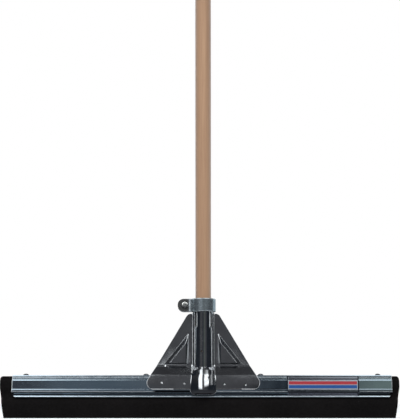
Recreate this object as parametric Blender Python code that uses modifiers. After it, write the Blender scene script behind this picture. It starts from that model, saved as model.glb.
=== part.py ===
"""Floor squeegee with a 55 cm double foam-rubber blade, modelled piece by piece.

Metres, +Z up. The origin is on the floor under the handle's axis. X runs along the blade and the
front of the squeegee faces -Y. Every piece is one closed solid in its own object.
"""

from math import acos, atan2, cos, hypot, pi, radians, sin, sqrt, tan

import bmesh
import bpy
from mathutils import Matrix, Vector

# Clearances
FIT = 0.0003                    # between pieces that touch
SEAM = 0.0004                   # between the backs of the two shells

# Blade
BLADE_LENGTH = 0.550
BLADE_OFFSET = -0.0052          # its middle, measured from the handle's axis
BLADE_OVERHANG = 0.0137         # mean of the rubber's reach beyond the channel's two ends

# Roll-formed channel, from the floor upwards
CHANNEL_OFFSET = -0.0020        # its middle, measured from the handle's axis
CHANNEL_WALL = 0.0010
PANEL_OUT = 0.0138              # half of the depth over the flat panels
RIDGE_RISE = 0.0008             # how far the ridge stands out from the panel
WAIST_DEPTH = 0.0021            # how far the crimped waist is drawn in
HEM_RADIUS = 0.0021
HEM_RISE = 0.0014               # how far the hem stands out from the waist
HEM_START = radians(55)         # the roll's first point, above the level of its centre
HEM_TURN = radians(120)         # and how far below that level it goes on
WAIST_HEIGHT = 0.0070
RIDGE_HEIGHT = 0.0020
PANEL_HEIGHT = 0.0097
STEP_HEIGHT = 0.0036
STEP_DEPTH = 0.0014             # how far the shoulder is drawn in from the panel
SHOULDER_FLAT = 0.0012
SHOULDER_RADIUS = 0.0030
CORNER_CUT = 0.0055             # 45 degree cut of the lower end corners

# Inner channel that keeps the two lips apart
INNER_WALL = 0.0010
INNER_HEIGHT = 0.0240
INNER_SETBACK = 0.0040          # from each end of the outer channel
INNER_BEND = 0.0020             # outer radius of its two bends
TAIL_ROOM = 0.0010              # between a rivet's tail and the wall beside it

# Foam-rubber lips
LIP_SHOW = 0.0273               # height of rubber below the channel
LIP_BULGE = 0.0031              # how far the free lip swells out from its neck
LIP_TAPER = 0.0008              # drawn in again at the tip
LIP_FOOT = 0.0011               # how far the free lip reaches in under the inner channel
LIP_STEP = 0.0020               # rear lip is shorter at each end
LIP_SLANT = 0.0067              # the ends lean in by this much at the tip
LIP_CORNER = 0.0042
LIP_END_RADIUS = 0.0200         # soft bend where the slant starts

# Rivets through both channels
RIVET_FROM_END = 0.0168         # outer pair, from the channel's ends
RIVET_FROM_SKIRT = 0.0020       # inner pair, from the skirt's ends
RIVET_HEAD_RADIUS = 0.0038
RIVET_HEAD_HEIGHT = 0.0019
RIVET_SHANK_RADIUS = 0.0020
RIVET_TAIL_RADIUS = 0.0030
RIVET_TAIL_HEIGHT = 0.0015

# Handle
HANDLE_RADIUS = 0.01175
HANDLE_FOOT_RADIUS = 0.0110     # turned down where it goes into the socket
HANDLE_FOOT_SPARE = 0.0040      # turned-down length left above the socket's mouth
HANDLE_TAPER = 0.400            # length over which it swells to its full radius
HANDLE_LENGTH = 1.400
HANDLE_DOME = 0.0070            # height of the rounded top
HANDLE_CHAMFER = 0.0015

# Shells: socket tube
SHELL_WALL = 0.0020
SOCKET_HEIGHT = 0.1060          # from the channel's top to the socket's mouth
FOLD_RADIUS = 0.0042            # between tube and wings
NOTCH = 0.0014                  # relief where the collar meets the wings' top
SLOT_ANGLE = radians(56)        # round the tube from its front
SLOT_WIDTH = 0.0036
SLOT_LENGTH = 0.0215
SLOT_BELOW_BAND = 0.0006        # from the clamp band to the slot's top
NAIL_HOLE_RADIUS = 0.0013
NAIL_HOLE_HEIGHT = 0.0330       # above the channel's top
NAIL_HOLE_SIDE = -0.0022

# Shells: wings and skirt
WING_BELOW_BAND = 0.0028        # from the clamp band to the wing's top edge
WING_TOP_FLAT = 0.0051          # from the fold to where top edge and slanted edge would meet
WING_LEAN = radians(31.0)       # between the slanted edge and the handle's axis
WING_TOP_RADIUS = 0.0070
WING_FOOT_RADIUS = 0.0092
STEP_OUT_START = 0.0115         # height above the channel where the sheet starts to step out
STEP_OUT_END = 0.0040           # depth below the channel's top where it has stepped out

# Shells: pocket at the foot of the socket
POCKET_RISE = 0.0090            # how far its crown stands out from the skirt
POCKET_SPREAD = 0.0024          # how far its folds move outward from the tube's
POCKET_DROP = 0.0069            # below the skirt's edge
POCKET_TAPER = 0.34             # share of its width lost at the closed foot
POCKET_FULLNESS = 0.8           # below 1 keeps the foot full before it closes
POCKET_SETTLE = 0.0190          # depth below the channel's top where it reaches full size

# Shells: raised triangles, from the wing's inner fold and the step-out
PLATE_RISE = 0.0026
PLATE_INSET = 0.0040            # from the fold to the upright side
PLATE_LIFT = 0.0016             # from the step-out's start to the lower side
PLATE_FAR_GAP = 0.0089          # from its far corner to the wing's slanted edge
PLATE_APEX_GAP = 0.0262         # from its apex to the wing's top edge
PLATE_RADIUS = 0.0026
SLOPE_UPRIGHT = 0.0041          # width of the pressed slope on the upright side
SLOPE_LOWER = 0.0028            # on the lower side
SLOPE_LONG = 0.0056             # on the long side
PLATE_TOP_RADIUS = 0.0012

# Spot welds between skirt and channel
WELD_FROM_POCKET = 0.0089
WELD_FROM_END = 0.0200          # from the skirt's end
WELD_DROP = 0.0041              # below the top of the channel's flat panel
WELD_MARK_RADIUS = 0.0017
WELD_MARK_DEPTH = 0.0005
WELD_NUGGET_RADIUS = 0.0022     # raised inside, down to the channel's panel

# Clamp band
BAND_WALL = 0.0040
BAND_HEIGHT = 0.0178
BAND_RISE = 0.0004              # band's top edge above the socket's mouth
EAR_GAP = 0.0040
EAR_END = 0.0100                # from the screw's axis to the ear's tip
EAR_FLAT = 0.0010               # straight length left between the tip's two round corners
EAR_BEND = 0.0035               # middle radius of the bend between ring and ear

# Clamp screw and nut
SCREW_RADIUS = 0.0025
SCREW_FROM_BAND = 0.0083        # from the outside of the ring to the screw's axis
SCREW_END = 0.0016              # thread left beyond the nut
HEAD_RADIUS = 0.0047
HEAD_HEIGHT = 0.0030
HEAD_SLOT_WIDTH = 0.0012
HEAD_SLOT_DEPTH = 0.0014
NUT_ACROSS = 0.0080
NUT_HEIGHT = 0.0040
NUT_CHAMFER = 0.0006

# Label film
LABEL_LENGTH = 0.0985
LABEL_THICKNESS = 0.0003
LABEL_DROP = 0.0008             # from the channel's top to the film's upper edge
LABEL_SHIFT = -0.0040           # from midway between the skirt's end and the channel's end

# Facets
TURN_STEPS = 32
SMALL_STEPS = 16                # on rivets and screws
ARC_STEPS = 4
WELD_STEPS = 12
ARC_COLUMNS = 9                 # across half of the tube's front, between crown and fold
FOLD_COLUMNS = 3
SKIRT_COLUMNS = 5
MERGE = 0.00001

# Lengths that follow from the blade's
CHANNEL_LENGTH = BLADE_LENGTH - 2 * BLADE_OVERHANG
INNER_WIDTH = 2 * (RIVET_TAIL_RADIUS + TAIL_ROOM + INNER_WALL)

# Heights of the channel's profile
CHANNEL_BOTTOM = LIP_SHOW
HEM_TOP = CHANNEL_BOTTOM + 2 * HEM_RADIUS
RIDGE_BOTTOM = HEM_TOP + WAIST_HEIGHT
PANEL_BOTTOM = RIDGE_BOTTOM + RIDGE_HEIGHT
PANEL_TOP = PANEL_BOTTOM + PANEL_HEIGHT
STEP_TOP = PANEL_TOP + STEP_HEIGHT
CHANNEL_TOP = STEP_TOP + SHOULDER_FLAT + SHOULDER_RADIUS

# Depths of the channel's profile
RIDGE_OUT = PANEL_OUT + RIDGE_RISE
WAIST_OUT = PANEL_OUT - WAIST_DEPTH
HEM_OUT = WAIST_OUT + HEM_RISE
HEM_IN = HEM_OUT - HEM_RADIUS - HEM_RADIUS * sin(HEM_TURN - pi / 2)
SHOULDER_OUT = PANEL_OUT - STEP_DEPTH

# Depths of the lips
LIP_NECK_OUT = HEM_IN - FIT
LIP_OUT = LIP_NECK_OUT + LIP_BULGE
LIP_IN = INNER_WIDTH / 2 + FIT - LIP_FOOT

# Radii and depths that follow from what fits in what
BORE_RADIUS = HANDLE_FOOT_RADIUS + FIT
TUBE_RADIUS = BORE_RADIUS + SHELL_WALL
BAND_MIDDLE = TUBE_RADIUS + FIT + BAND_WALL / 2
SCREW_REACH = BAND_MIDDLE + BAND_WALL / 2 + SCREW_FROM_BAND
EAR_REACH = SCREW_REACH + EAR_END
EAR_RADIUS = (BAND_HEIGHT - EAR_FLAT) / 2
EAR_FACE = EAR_GAP / 2 + BAND_WALL
WING_OUT = SEAM / 2 + SHELL_WALL
SKIRT_OUT = RIDGE_OUT + FIT + SHELL_WALL
TUBE_FOLD = sqrt((TUBE_RADIUS + FOLD_RADIUS) ** 2 - (WING_OUT + FOLD_RADIUS) ** 2)
POCKET_HALF = TUBE_FOLD + POCKET_SPREAD
WING_TOP_HALF = TUBE_FOLD + WING_TOP_FLAT

# Heights of the shells and the band
SOCKET_TOP = CHANNEL_TOP + SOCKET_HEIGHT
BAND_TOP = SOCKET_TOP + BAND_RISE
BAND_BOTTOM = BAND_TOP - BAND_HEIGHT
WING_TOP = BAND_BOTTOM - WING_BELOW_BAND
STEP_OUT_HIGH = CHANNEL_TOP + STEP_OUT_START
STEP_OUT_LOW = CHANNEL_TOP - STEP_OUT_END
SKIRT_BOTTOM = RIDGE_BOTTOM
POCKET_FULL = CHANNEL_TOP - POCKET_SETTLE


def clear_scene():
    """Remove every object that the scene starts with."""
    for old in list(bpy.data.objects):
        bpy.data.objects.remove(old, do_unlink=True)


def new_collection(name):
    group = bpy.data.collections.new(name)
    bpy.context.scene.collection.children.link(group)
    return group


def new_material(name, colour, metallic, roughness):
    paint = bpy.data.materials.new(name)
    paint.use_nodes = True
    shader = paint.node_tree.nodes["Principled BSDF"]
    shader.inputs["Base Color"].default_value = (*colour, 1.0)
    shader.inputs["Metallic"].default_value = metallic
    shader.inputs["Roughness"].default_value = roughness
    return paint


clear_scene()
SQUEEGEE = new_collection("floor_squeegee")
CUTTERS = new_collection("cutters")

ZINC = new_material("zinc_coated_steel", (0.36, 0.41, 0.45), 1.0, 0.22)
PRESSED = new_material("pressed_steel", (0.20, 0.20, 0.21), 1.0, 0.30)
BAND_STEEL = new_material("galvanised_band", (0.34, 0.38, 0.40), 1.0, 0.45)
BRIGHT = new_material("bright_fastener", (0.62, 0.62, 0.60), 1.0, 0.25)
FOAM = new_material("foam_rubber", (0.012, 0.011, 0.011), 0.0, 0.85)
WOOD = new_material("handle_wood", (0.48, 0.31, 0.19), 0.0, 0.55)
FILM = new_material("label_film", (0.30, 0.30, 0.34), 0.0, 0.25)


def add_object(name, shape, paint=None, group=None):
    """Make a named object from a bmesh and free the bmesh."""
    mesh = bpy.data.meshes.new(name)
    shape.to_mesh(mesh)
    shape.free()
    made = bpy.data.objects.new(name, mesh)
    (group or SQUEEGEE).objects.link(made)
    if paint:
        mesh.materials.append(paint)
    return made


def shade(made, angle=35):
    made.data.shade_smooth()
    made.data.set_sharp_from_angle(angle=radians(angle))


def as_cutter(made):
    made.hide_render = True
    made.display_type = "WIRE"
    return made


def boolean(target, tool, operation="DIFFERENCE"):
    step = target.modifiers.new(tool.name, "BOOLEAN")
    step.operation = operation
    step.solver = "EXACT"
    step.object = tool


def solidify(target, thickness, offset, folded=False):
    """Give a sheet its thickness; a folded sheet is solved constraint by constraint at its corners."""
    wall = target.modifiers.new("wall", "SOLIDIFY")
    wall.thickness = thickness
    wall.offset = offset
    if folded:
        wall.solidify_mode = "NON_MANIFOLD"
        wall.nonmanifold_thickness_mode = "CONSTRAINTS"
    else:
        wall.use_even_offset = True
        wall.use_quality_normals = True


def rounded(corners):
    """Outline through corners (u, v, radius), with each corner of a radius above 0 rounded."""
    outline = []
    for index, (u, v, radius) in enumerate(corners):
        here = Vector((u, v))
        before = (Vector(corners[index - 1][:2]) - here).normalized()
        after = (Vector(corners[(index + 1) % len(corners)][:2]) - here).normalized()
        if radius <= 0:
            outline.append(here)
            continue
        half = before.angle(after) / 2
        middle = here + (before + after).normalized() * radius / sin(half)
        first = here + before * radius / tan(half) - middle
        last = here + after * radius / tan(half) - middle
        turn = first.angle_signed(last)
        for step in range(ARC_STEPS + 1):
            outline.append(middle + Matrix.Rotation(-turn * step / ARC_STEPS, 2) @ first)
    return [(point.x, point.y) for point in outline]


def prism(outline, axis, low, high):
    """Closed bmesh of a flat outline, given in the other two axes, between two levels of an axis."""
    shape = bmesh.new()
    across = ["XYZ".index(letter) for letter in "XYZ" if letter != axis]
    corners = []
    for point in outline:
        corner = Vector((low, low, low))
        corner[across[0]], corner[across[1]] = point
        corners.append(shape.verts.new(corner))
    swept = bmesh.ops.extrude_face_region(shape, geom=[shape.faces.new(corners)])["geom"]
    travel = Vector([high - low if letter == axis else 0.0 for letter in "XYZ"])
    moved = [item for item in swept if isinstance(item, bmesh.types.BMVert)]
    bmesh.ops.translate(shape, vec=travel, verts=moved)
    bmesh.ops.recalc_face_normals(shape, faces=shape.faces)
    return shape


def turned(name, profile, paint, steps=TURN_STEPS):
    """Turned piece about Z; the profile (radius, height) runs down its outer side, top to bottom."""
    shape = bmesh.new()
    points = [shape.verts.new((radius, 0.0, height)) for radius, height in profile]
    for upper, lower in zip(points, points[1:]):
        shape.edges.new((upper, lower))
    made = add_object(name, shape, paint)
    turn = made.modifiers.new("turn", "SCREW")
    turn.axis = "Z"
    turn.steps = steps
    turn.render_steps = steps
    turn.use_merge_vertices = True
    turn.merge_threshold = MERGE
    turn.use_smooth_shade = True
    return made


def rod(radius, low, high, sides=SMALL_STEPS):
    """Closed cylinder along Z as a bmesh."""
    shape = bmesh.new()
    bmesh.ops.create_cone(
        shape, cap_ends=True, segments=sides, radius1=radius, radius2=radius, depth=high - low,
        matrix=Matrix.Translation((0, 0, (low + high) / 2)),
    )
    return shape


# Channel


def channel_profile():
    """Outer face of one side, from the middle of the top to the rolled-in hem: (depth, height)."""
    points = [(0.0, CHANNEL_TOP)]
    for step in range(ARC_STEPS + 1):
        angle = pi / 2 * (1 - step / ARC_STEPS)
        points.append((
            SHOULDER_OUT - SHOULDER_RADIUS + SHOULDER_RADIUS * cos(angle),
            CHANNEL_TOP - SHOULDER_RADIUS + SHOULDER_RADIUS * sin(angle),
        ))
    points += [(SHOULDER_OUT, STEP_TOP), (PANEL_OUT, PANEL_TOP), (PANEL_OUT, PANEL_BOTTOM)]
    points += [(RIDGE_OUT, PANEL_BOTTOM - RIDGE_RISE), (RIDGE_OUT, RIDGE_BOTTOM)]
    points += [(WAIST_OUT, HEM_TOP + HEM_RADIUS / 4)]
    for step in range(2 * ARC_STEPS + 1):
        angle = HEM_START - (HEM_START + HEM_TURN) * step / (2 * ARC_STEPS)
        points.append((
            HEM_OUT - HEM_RADIUS + HEM_RADIUS * cos(angle),
            CHANNEL_BOTTOM + HEM_RADIUS + HEM_RADIUS * sin(angle),
        ))
    return points


def strip_shell(name, outline, low, high, paint):
    """Sheet swept along X from an open outline (depth, height), mirrored to the rear."""
    shape = bmesh.new()
    first = [shape.verts.new((low, -depth, height)) for depth, height in outline]
    last = [shape.verts.new((high, -depth, height)) for depth, height in outline]
    for here in range(len(outline) - 1):
        shape.faces.new((first[here], first[here + 1], last[here + 1], last[here]))
    made = add_object(name, shape, paint)
    halves = made.modifiers.new("rear_side", "MIRROR")
    halves.use_axis = (False, True, False)
    halves.use_clip = True
    halves.merge_threshold = MERGE
    return made


def corner_cutter(name, length, middle, size, low, reach):
    """Wedges that take both lower end corners off at 45 degrees."""
    shape = bmesh.new()
    for side in (-1, 1):
        end = middle + side * length / 2
        inside, outside = end - side * size, end + side * size
        outline = [(inside, low), (inside, low - size), (outside, low - size)]
        outline += [(outside, low + size), (end, low + size)]
        wedge = prism(outline, "Y", -reach, reach)
        part = bpy.data.meshes.new("wedge")
        wedge.to_mesh(part)
        wedge.free()
        shape.from_mesh(part)
        bpy.data.meshes.remove(part)
    return as_cutter(add_object(name, shape, group=CUTTERS))


def build_channel():
    half = CHANNEL_LENGTH / 2
    channel = strip_shell("channel", channel_profile(), CHANNEL_OFFSET - half, CHANNEL_OFFSET + half, ZINC)
    solidify(channel, CHANNEL_WALL, -1)
    reach = 2 * RIDGE_OUT
    corners = corner_cutter("corner_cuts", CHANNEL_LENGTH, CHANNEL_OFFSET, CORNER_CUT, CHANNEL_BOTTOM, reach)
    boolean(channel, corners)
    boolean(channel, RIVET_HOLES)
    shade(channel)


def build_inner_channel():
    half = CHANNEL_LENGTH / 2 - INNER_SETBACK
    top = CHANNEL_TOP - CHANNEL_WALL - FIT
    outline = [(0.0, top)]
    for step in range(ARC_STEPS + 1):
        angle = pi / 2 * (1 - step / ARC_STEPS)
        outline.append((
            INNER_WIDTH / 2 - INNER_BEND + INNER_BEND * cos(angle),
            top - INNER_BEND + INNER_BEND * sin(angle),
        ))
    outline.append((INNER_WIDTH / 2, top - INNER_HEIGHT))
    inner = strip_shell("inner_channel", outline, CHANNEL_OFFSET - half, CHANNEL_OFFSET + half, ZINC)
    solidify(inner, INNER_WALL, -1)
    boolean(inner, RIVET_HOLES)
    shade(inner)


def rivet_places():
    outer = CHANNEL_LENGTH / 2 - RIVET_FROM_END
    inner = skirt_end() + RIVET_FROM_SKIRT
    return [CHANNEL_OFFSET - outer, -inner, inner, CHANNEL_OFFSET + outer]


def build_rivet_holes():
    shape = bmesh.new()
    for place in rivet_places():
        bmesh.ops.create_cone(
            shape, cap_ends=True, segments=SMALL_STEPS,
            radius1=RIVET_SHANK_RADIUS + FIT, radius2=RIVET_SHANK_RADIUS + FIT, depth=SHOULDER_RADIUS * 3,
            matrix=Matrix.Translation((place, 0, CHANNEL_TOP)),
        )
    return as_cutter(add_object("rivet_holes", shape, group=CUTTERS))


def build_rivets():
    seat = FIT
    tail_seat = -(CHANNEL_WALL + INNER_WALL + 2 * FIT)
    tail_end = tail_seat - RIVET_TAIL_HEIGHT
    dome = []
    for step in range(ARC_STEPS + 1):
        angle = pi / 2 * (1 - step / ARC_STEPS)
        dome.append((RIVET_HEAD_RADIUS * cos(angle), seat + RIVET_HEAD_HEIGHT * (0.2 + 0.8 * sin(angle))))
    dome[0] = (0.0, dome[0][1])
    profile = dome + [
        (RIVET_HEAD_RADIUS, seat),
        (RIVET_SHANK_RADIUS, seat),
        (RIVET_SHANK_RADIUS, tail_seat),
        (RIVET_TAIL_RADIUS, tail_seat),
        (RIVET_TAIL_RADIUS, tail_end + RIVET_TAIL_HEIGHT * 0.4),
        (RIVET_TAIL_RADIUS * 0.7, tail_end),
        (0.0, tail_end),
    ]
    for number, place in enumerate(rivet_places(), start=1):
        rivet = turned("channel_rivet_%d" % number, profile, BRIGHT, SMALL_STEPS)
        rivet.location = (place, 0, CHANNEL_TOP)


# Foam-rubber lips


def lip_section():
    """Closed outline of one lip (depth, height) inside the channel and below it."""
    inner = INNER_WIDTH / 2 + FIT
    wall = CHANNEL_WALL + FIT
    inner_top = CHANNEL_TOP - CHANNEL_WALL - 2 * FIT - INNER_WALL
    inner_bottom = CHANNEL_TOP - CHANNEL_WALL - INNER_HEIGHT - 2 * FIT
    neck_low = CHANNEL_BOTTOM - HEM_RADIUS / 2
    neck_high = CHANNEL_BOTTOM + HEM_RADIUS * 1.6
    top = CHANNEL_TOP - CHANNEL_WALL - FIT
    return [
        (LIP_IN, 0.0),
        (LIP_OUT - LIP_TAPER, 0.0),
        (LIP_OUT, LIP_SHOW * 0.35),
        (LIP_OUT, LIP_SHOW * 0.70),
        (LIP_OUT - LIP_BULGE * 0.35, LIP_SHOW * 0.86),
        (LIP_NECK_OUT, neck_low),
        (LIP_NECK_OUT, neck_high),
        (WAIST_OUT - wall - FIT, HEM_TOP + WAIST_HEIGHT * 0.3),
        (PANEL_OUT - wall, RIDGE_BOTTOM + RIDGE_HEIGHT),
        (PANEL_OUT - wall, PANEL_TOP - FIT),
        (SHOULDER_OUT - wall, STEP_TOP - FIT),
        (SHOULDER_OUT - wall, CHANNEL_TOP - SHOULDER_RADIUS),
        (SHOULDER_OUT - SHOULDER_RADIUS, top),
        (inner, top),
        (inner, inner_bottom),
        (LIP_IN, inner_bottom - (inner - LIP_IN)),
    ]


def build_lip(name, side, trim):
    """One lip: its section swept along X, kept inside an end outline with slanted ends."""
    half = BLADE_LENGTH / 2 - trim
    section = [(side * depth, height) for depth, height in lip_section()]
    reach = half * 1.05
    lip = add_object(name, prism(section, "X", BLADE_OFFSET - reach, BLADE_OFFSET + reach), FOAM)
    top = CHANNEL_TOP - CHANNEL_WALL
    slant_start = CHANNEL_BOTTOM + HEM_RADIUS
    corners = [
        (BLADE_OFFSET - half + LIP_SLANT, -FIT, 0), (BLADE_OFFSET + half - LIP_SLANT, -FIT, 0),
        (BLADE_OFFSET + half, slant_start, LIP_END_RADIUS), (BLADE_OFFSET + half, top, LIP_CORNER),
        (BLADE_OFFSET - half, top, LIP_CORNER), (BLADE_OFFSET - half, slant_start, LIP_END_RADIUS),
    ]
    ends = add_object(name + "_ends", prism(rounded(corners), "Y", -2 * LIP_OUT, 2 * LIP_OUT), group=CUTTERS)
    boolean(lip, as_cutter(ends), "INTERSECT")
    shade(lip)


# Handle


def build_handle():
    dome = []
    for step in range(2 * ARC_STEPS + 1):
        angle = pi / 2 * (1 - step / (2 * ARC_STEPS))
        dome.append((HANDLE_RADIUS * cos(angle), HANDLE_LENGTH - HANDLE_DOME * (1 - sin(angle))))
    dome[0] = (0.0, HANDLE_LENGTH)
    foot = SOCKET_HEIGHT + HANDLE_FOOT_SPARE
    profile = dome + [
        (HANDLE_RADIUS, foot + HANDLE_TAPER),
        (HANDLE_FOOT_RADIUS, foot),
        (HANDLE_FOOT_RADIUS, HANDLE_CHAMFER),
        (HANDLE_FOOT_RADIUS - HANDLE_CHAMFER, 0.0),
        (0.0, 0.0),
    ]
    handle = turned("handle", profile, WOOD)
    handle.location = (0, 0, CHANNEL_TOP + FIT)


# Shells


def ease(share):
    share = min(1.0, max(0.0, share))
    return share * share * (3 - 2 * share)


def base_out(height):
    """Depth of the wing and skirt face at a height."""
    share = ease((STEP_OUT_HIGH - height) / (STEP_OUT_HIGH - STEP_OUT_LOW))
    return WING_OUT + (SKIRT_OUT - WING_OUT) * share


def pocket_share(height):
    return ease((STEP_OUT_HIGH - height) / (STEP_OUT_HIGH - POCKET_FULL))


def crown_out(height):
    return TUBE_RADIUS + (SKIRT_OUT + POCKET_RISE - TUBE_RADIUS) * pocket_share(height)


def fold_half(height):
    """Half width from the axis to where the fold meets the wing or skirt."""
    return TUBE_FOLD + (POCKET_HALF - TUBE_FOLD) * pocket_share(height)


def socket_section(crown, base, fold):
    """Half section from the crown to the foot of the fold: (side, depth)."""
    drop = base + FOLD_RADIUS - crown
    radius = (fold ** 2 + drop ** 2 - FOLD_RADIUS ** 2) / (2 * (FOLD_RADIUS - drop))
    middle = crown - radius
    spread = atan2(fold, base + FOLD_RADIUS - middle)
    points = []
    for step in range(ARC_COLUMNS + 1):
        angle = spread * step / ARC_COLUMNS
        points.append((radius * sin(angle), middle + radius * cos(angle)))
    for step in range(1, FOLD_COLUMNS + 1):
        angle = spread * (1 - step / FOLD_COLUMNS)
        points.append((fold - FOLD_RADIUS * sin(angle), base + FOLD_RADIUS - FOLD_RADIUS * cos(angle)))
    return points


def collar_section(seam):
    """Quarter circle with the same number of points, for the collar above the wings."""
    spread = atan2(TUBE_FOLD, WING_OUT + FOLD_RADIUS)
    last = acos(seam / TUBE_RADIUS)
    angles = [spread * step / ARC_COLUMNS for step in range(ARC_COLUMNS + 1)]
    angles += [spread + (last - spread) * step / FOLD_COLUMNS for step in range(1, FOLD_COLUMNS + 1)]
    return [(TUBE_RADIUS * sin(angle), TUBE_RADIUS * cos(angle)) for angle in angles]


def wing_edge(height):
    """Half width of the wing's slanted edge, before its corners are rounded."""
    return WING_TOP_HALF + tan(WING_LEAN) * (WING_TOP - height)


def foot_corner():
    """Centre of the wing's rounded foot corner."""
    middle_height = SKIRT_BOTTOM + WING_FOOT_RADIUS
    middle = wing_edge(middle_height) - WING_FOOT_RADIUS / cos(WING_LEAN)
    return middle, middle_height


def skirt_end():
    """Half width of the skirt at its widest."""
    return foot_corner()[0] + WING_FOOT_RADIUS


def skirt_rows():
    """Heights of the rows from the start of the step-out down to the skirt's edge."""
    middle_height = foot_corner()[1]
    arc_start = middle_height + WING_FOOT_RADIUS * sin(WING_LEAN)
    rows = [STEP_OUT_HIGH + (STEP_OUT_LOW - STEP_OUT_HIGH) * step / 7 for step in range(8)]
    rows.append((STEP_OUT_LOW + arc_start) / 2)
    for step in range(6):
        angle = WING_LEAN - (WING_LEAN + pi / 2) * step / 5
        rows.append(middle_height + WING_FOOT_RADIUS * sin(angle))
    return sorted(rows, reverse=True)


def skirt_edge(height):
    middle, middle_height = foot_corner()
    if height >= middle_height + WING_FOOT_RADIUS * sin(WING_LEAN):
        return wing_edge(height)
    rise = height - middle_height
    return middle + sqrt(max(0.0, WING_FOOT_RADIUS ** 2 - rise ** 2))


def grid(shape, rows):
    """Quads between rows of points with equal counts."""
    made = [[shape.verts.new(point) for point in row] for row in rows]
    for upper, lower in zip(made, made[1:]):
        for here in range(len(upper) - 1):
            shape.faces.new((upper[here], lower[here], lower[here + 1], upper[here + 1]))


def add_socket(shape):
    """Collar, tube, step-out and pocket of the right half of the front shell."""
    rows = []
    for height, seam in ((SOCKET_TOP, SEAM), (WING_TOP + NOTCH, NOTCH)):
        rows.append([(side, -depth, height) for side, depth in collar_section(seam)])
    for height in [WING_TOP] + skirt_rows():
        section = socket_section(crown_out(height), base_out(height), fold_half(height))
        rows.append([(side, -depth, height) for side, depth in section])
    lowest = socket_section(crown_out(SKIRT_BOTTOM), base_out(SKIRT_BOTTOM), fold_half(SKIRT_BOTTOM))
    for angle in (radians(value) for value in (22, 42, 60, 76)):
        height = SKIRT_BOTTOM - POCKET_DROP * sin(angle) / sin(radians(76))
        width = 1 - POCKET_TAPER * (1 - cos(angle))
        rise = cos(angle) ** POCKET_FULLNESS
        rows.append([
            (side * width, -(SKIRT_OUT + (depth - SKIRT_OUT) * rise), height) for side, depth in lowest
        ])
    grid(shape, rows)


def add_skirt(shape):
    rows = []
    for height in skirt_rows():
        inner, outer = fold_half(height), skirt_edge(height)
        sides = [inner + (outer - inner) * step / SKIRT_COLUMNS for step in range(SKIRT_COLUMNS + 1)]
        rows.append([(side, -base_out(height), height) for side in sides])
    grid(shape, rows)


def triangle_outline(side, foot, width, height, radius):
    """Right-angled triangle with its upright side towards the socket, corners rounded."""
    return rounded([(side, foot, radius), (side + width, foot, radius), (side, foot + height, radius)])


def loop_of(shape, outline, depth):
    points = [shape.verts.new((side, -depth, height)) for side, height in outline]
    edges = [shape.edges.new((points[here - 1], points[here])) for here in range(len(points))]
    return points, edges


def add_wing(shape):
    """Flat wing of the right half, with its raised triangle."""
    outer = wing_edge(STEP_OUT_HIGH)
    outline = rounded([
        (TUBE_FOLD, STEP_OUT_HIGH, 0), (TUBE_FOLD, WING_TOP, 0), (WING_TOP_HALF, WING_TOP, WING_TOP_RADIUS),
        (outer, STEP_OUT_HIGH, 0),
    ])
    for step in range(1, SKIRT_COLUMNS):
        outline.append((outer + (TUBE_FOLD - outer) * step / SKIRT_COLUMNS, STEP_OUT_HIGH))
    side = TUBE_FOLD + PLATE_INSET
    foot = STEP_OUT_HIGH + PLATE_LIFT
    width = wing_edge(foot) - PLATE_FAR_GAP - side
    height = WING_TOP - PLATE_APEX_GAP - foot
    left = 1 - SLOPE_LONG * hypot(width, height) / (width * height)
    top_width = width * (left - SLOPE_LOWER / height) - SLOPE_UPRIGHT
    top_height = height * (left - SLOPE_UPRIGHT / width) - SLOPE_LOWER
    low = triangle_outline(side, foot, width, height, PLATE_RADIUS)
    high = triangle_outline(side + SLOPE_UPRIGHT, foot + SLOPE_LOWER, top_width, top_height, PLATE_TOP_RADIUS)
    _, border = loop_of(shape, outline, WING_OUT)
    low_points, low_edges = loop_of(shape, low, WING_OUT)
    high_points, _ = loop_of(shape, high, WING_OUT + PLATE_RISE)
    bmesh.ops.triangle_fill(shape, use_beauty=True, edges=border + low_edges, normal=(0, -1, 0))
    for here in range(len(low_points)):
        shape.faces.new((low_points[here - 1], low_points[here], high_points[here], high_points[here - 1]))
    shape.faces.new(high_points)


def build_shell_surface():
    """Mesh of the right half of the front shell's outer face."""
    shape = bmesh.new()
    add_socket(shape)
    add_skirt(shape)
    add_wing(shape)
    bmesh.ops.remove_doubles(shape, verts=shape.verts, dist=MERGE)
    bmesh.ops.recalc_face_normals(shape, faces=shape.faces)
    middle = min(shape.faces, key=lambda face: face.calc_center_median().y)
    if middle.normal.y > 0:
        bmesh.ops.reverse_faces(shape, faces=shape.faces)
    return shape


def build_shell(name, turn, face):
    """One half shell, facing front (-1) or rear (1); the rear one is turned half way round."""
    shell = add_object(name, build_shell_surface(), PRESSED)
    halves = shell.modifiers.new("left_side", "MIRROR")
    halves.use_axis = (True, False, False)
    halves.use_clip = True
    halves.merge_threshold = MERGE
    solidify(shell, SHELL_WALL, -1, folded=True)
    shell.rotation_euler = (0, 0, turn)
    inside = SKIRT_OUT - SHELL_WALL / 2
    nuggets = build_welds(name + "_nuggets", [face], WELD_NUGGET_RADIUS, PANEL_OUT + FIT, inside)
    boolean(shell, nuggets, "UNION")
    boolean(shell, SLOT_CUTTER)
    boolean(shell, WELD_MARKS)
    if face < 0:
        boolean(shell, NAIL_HOLE)
    shade(shell, 25)


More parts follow.
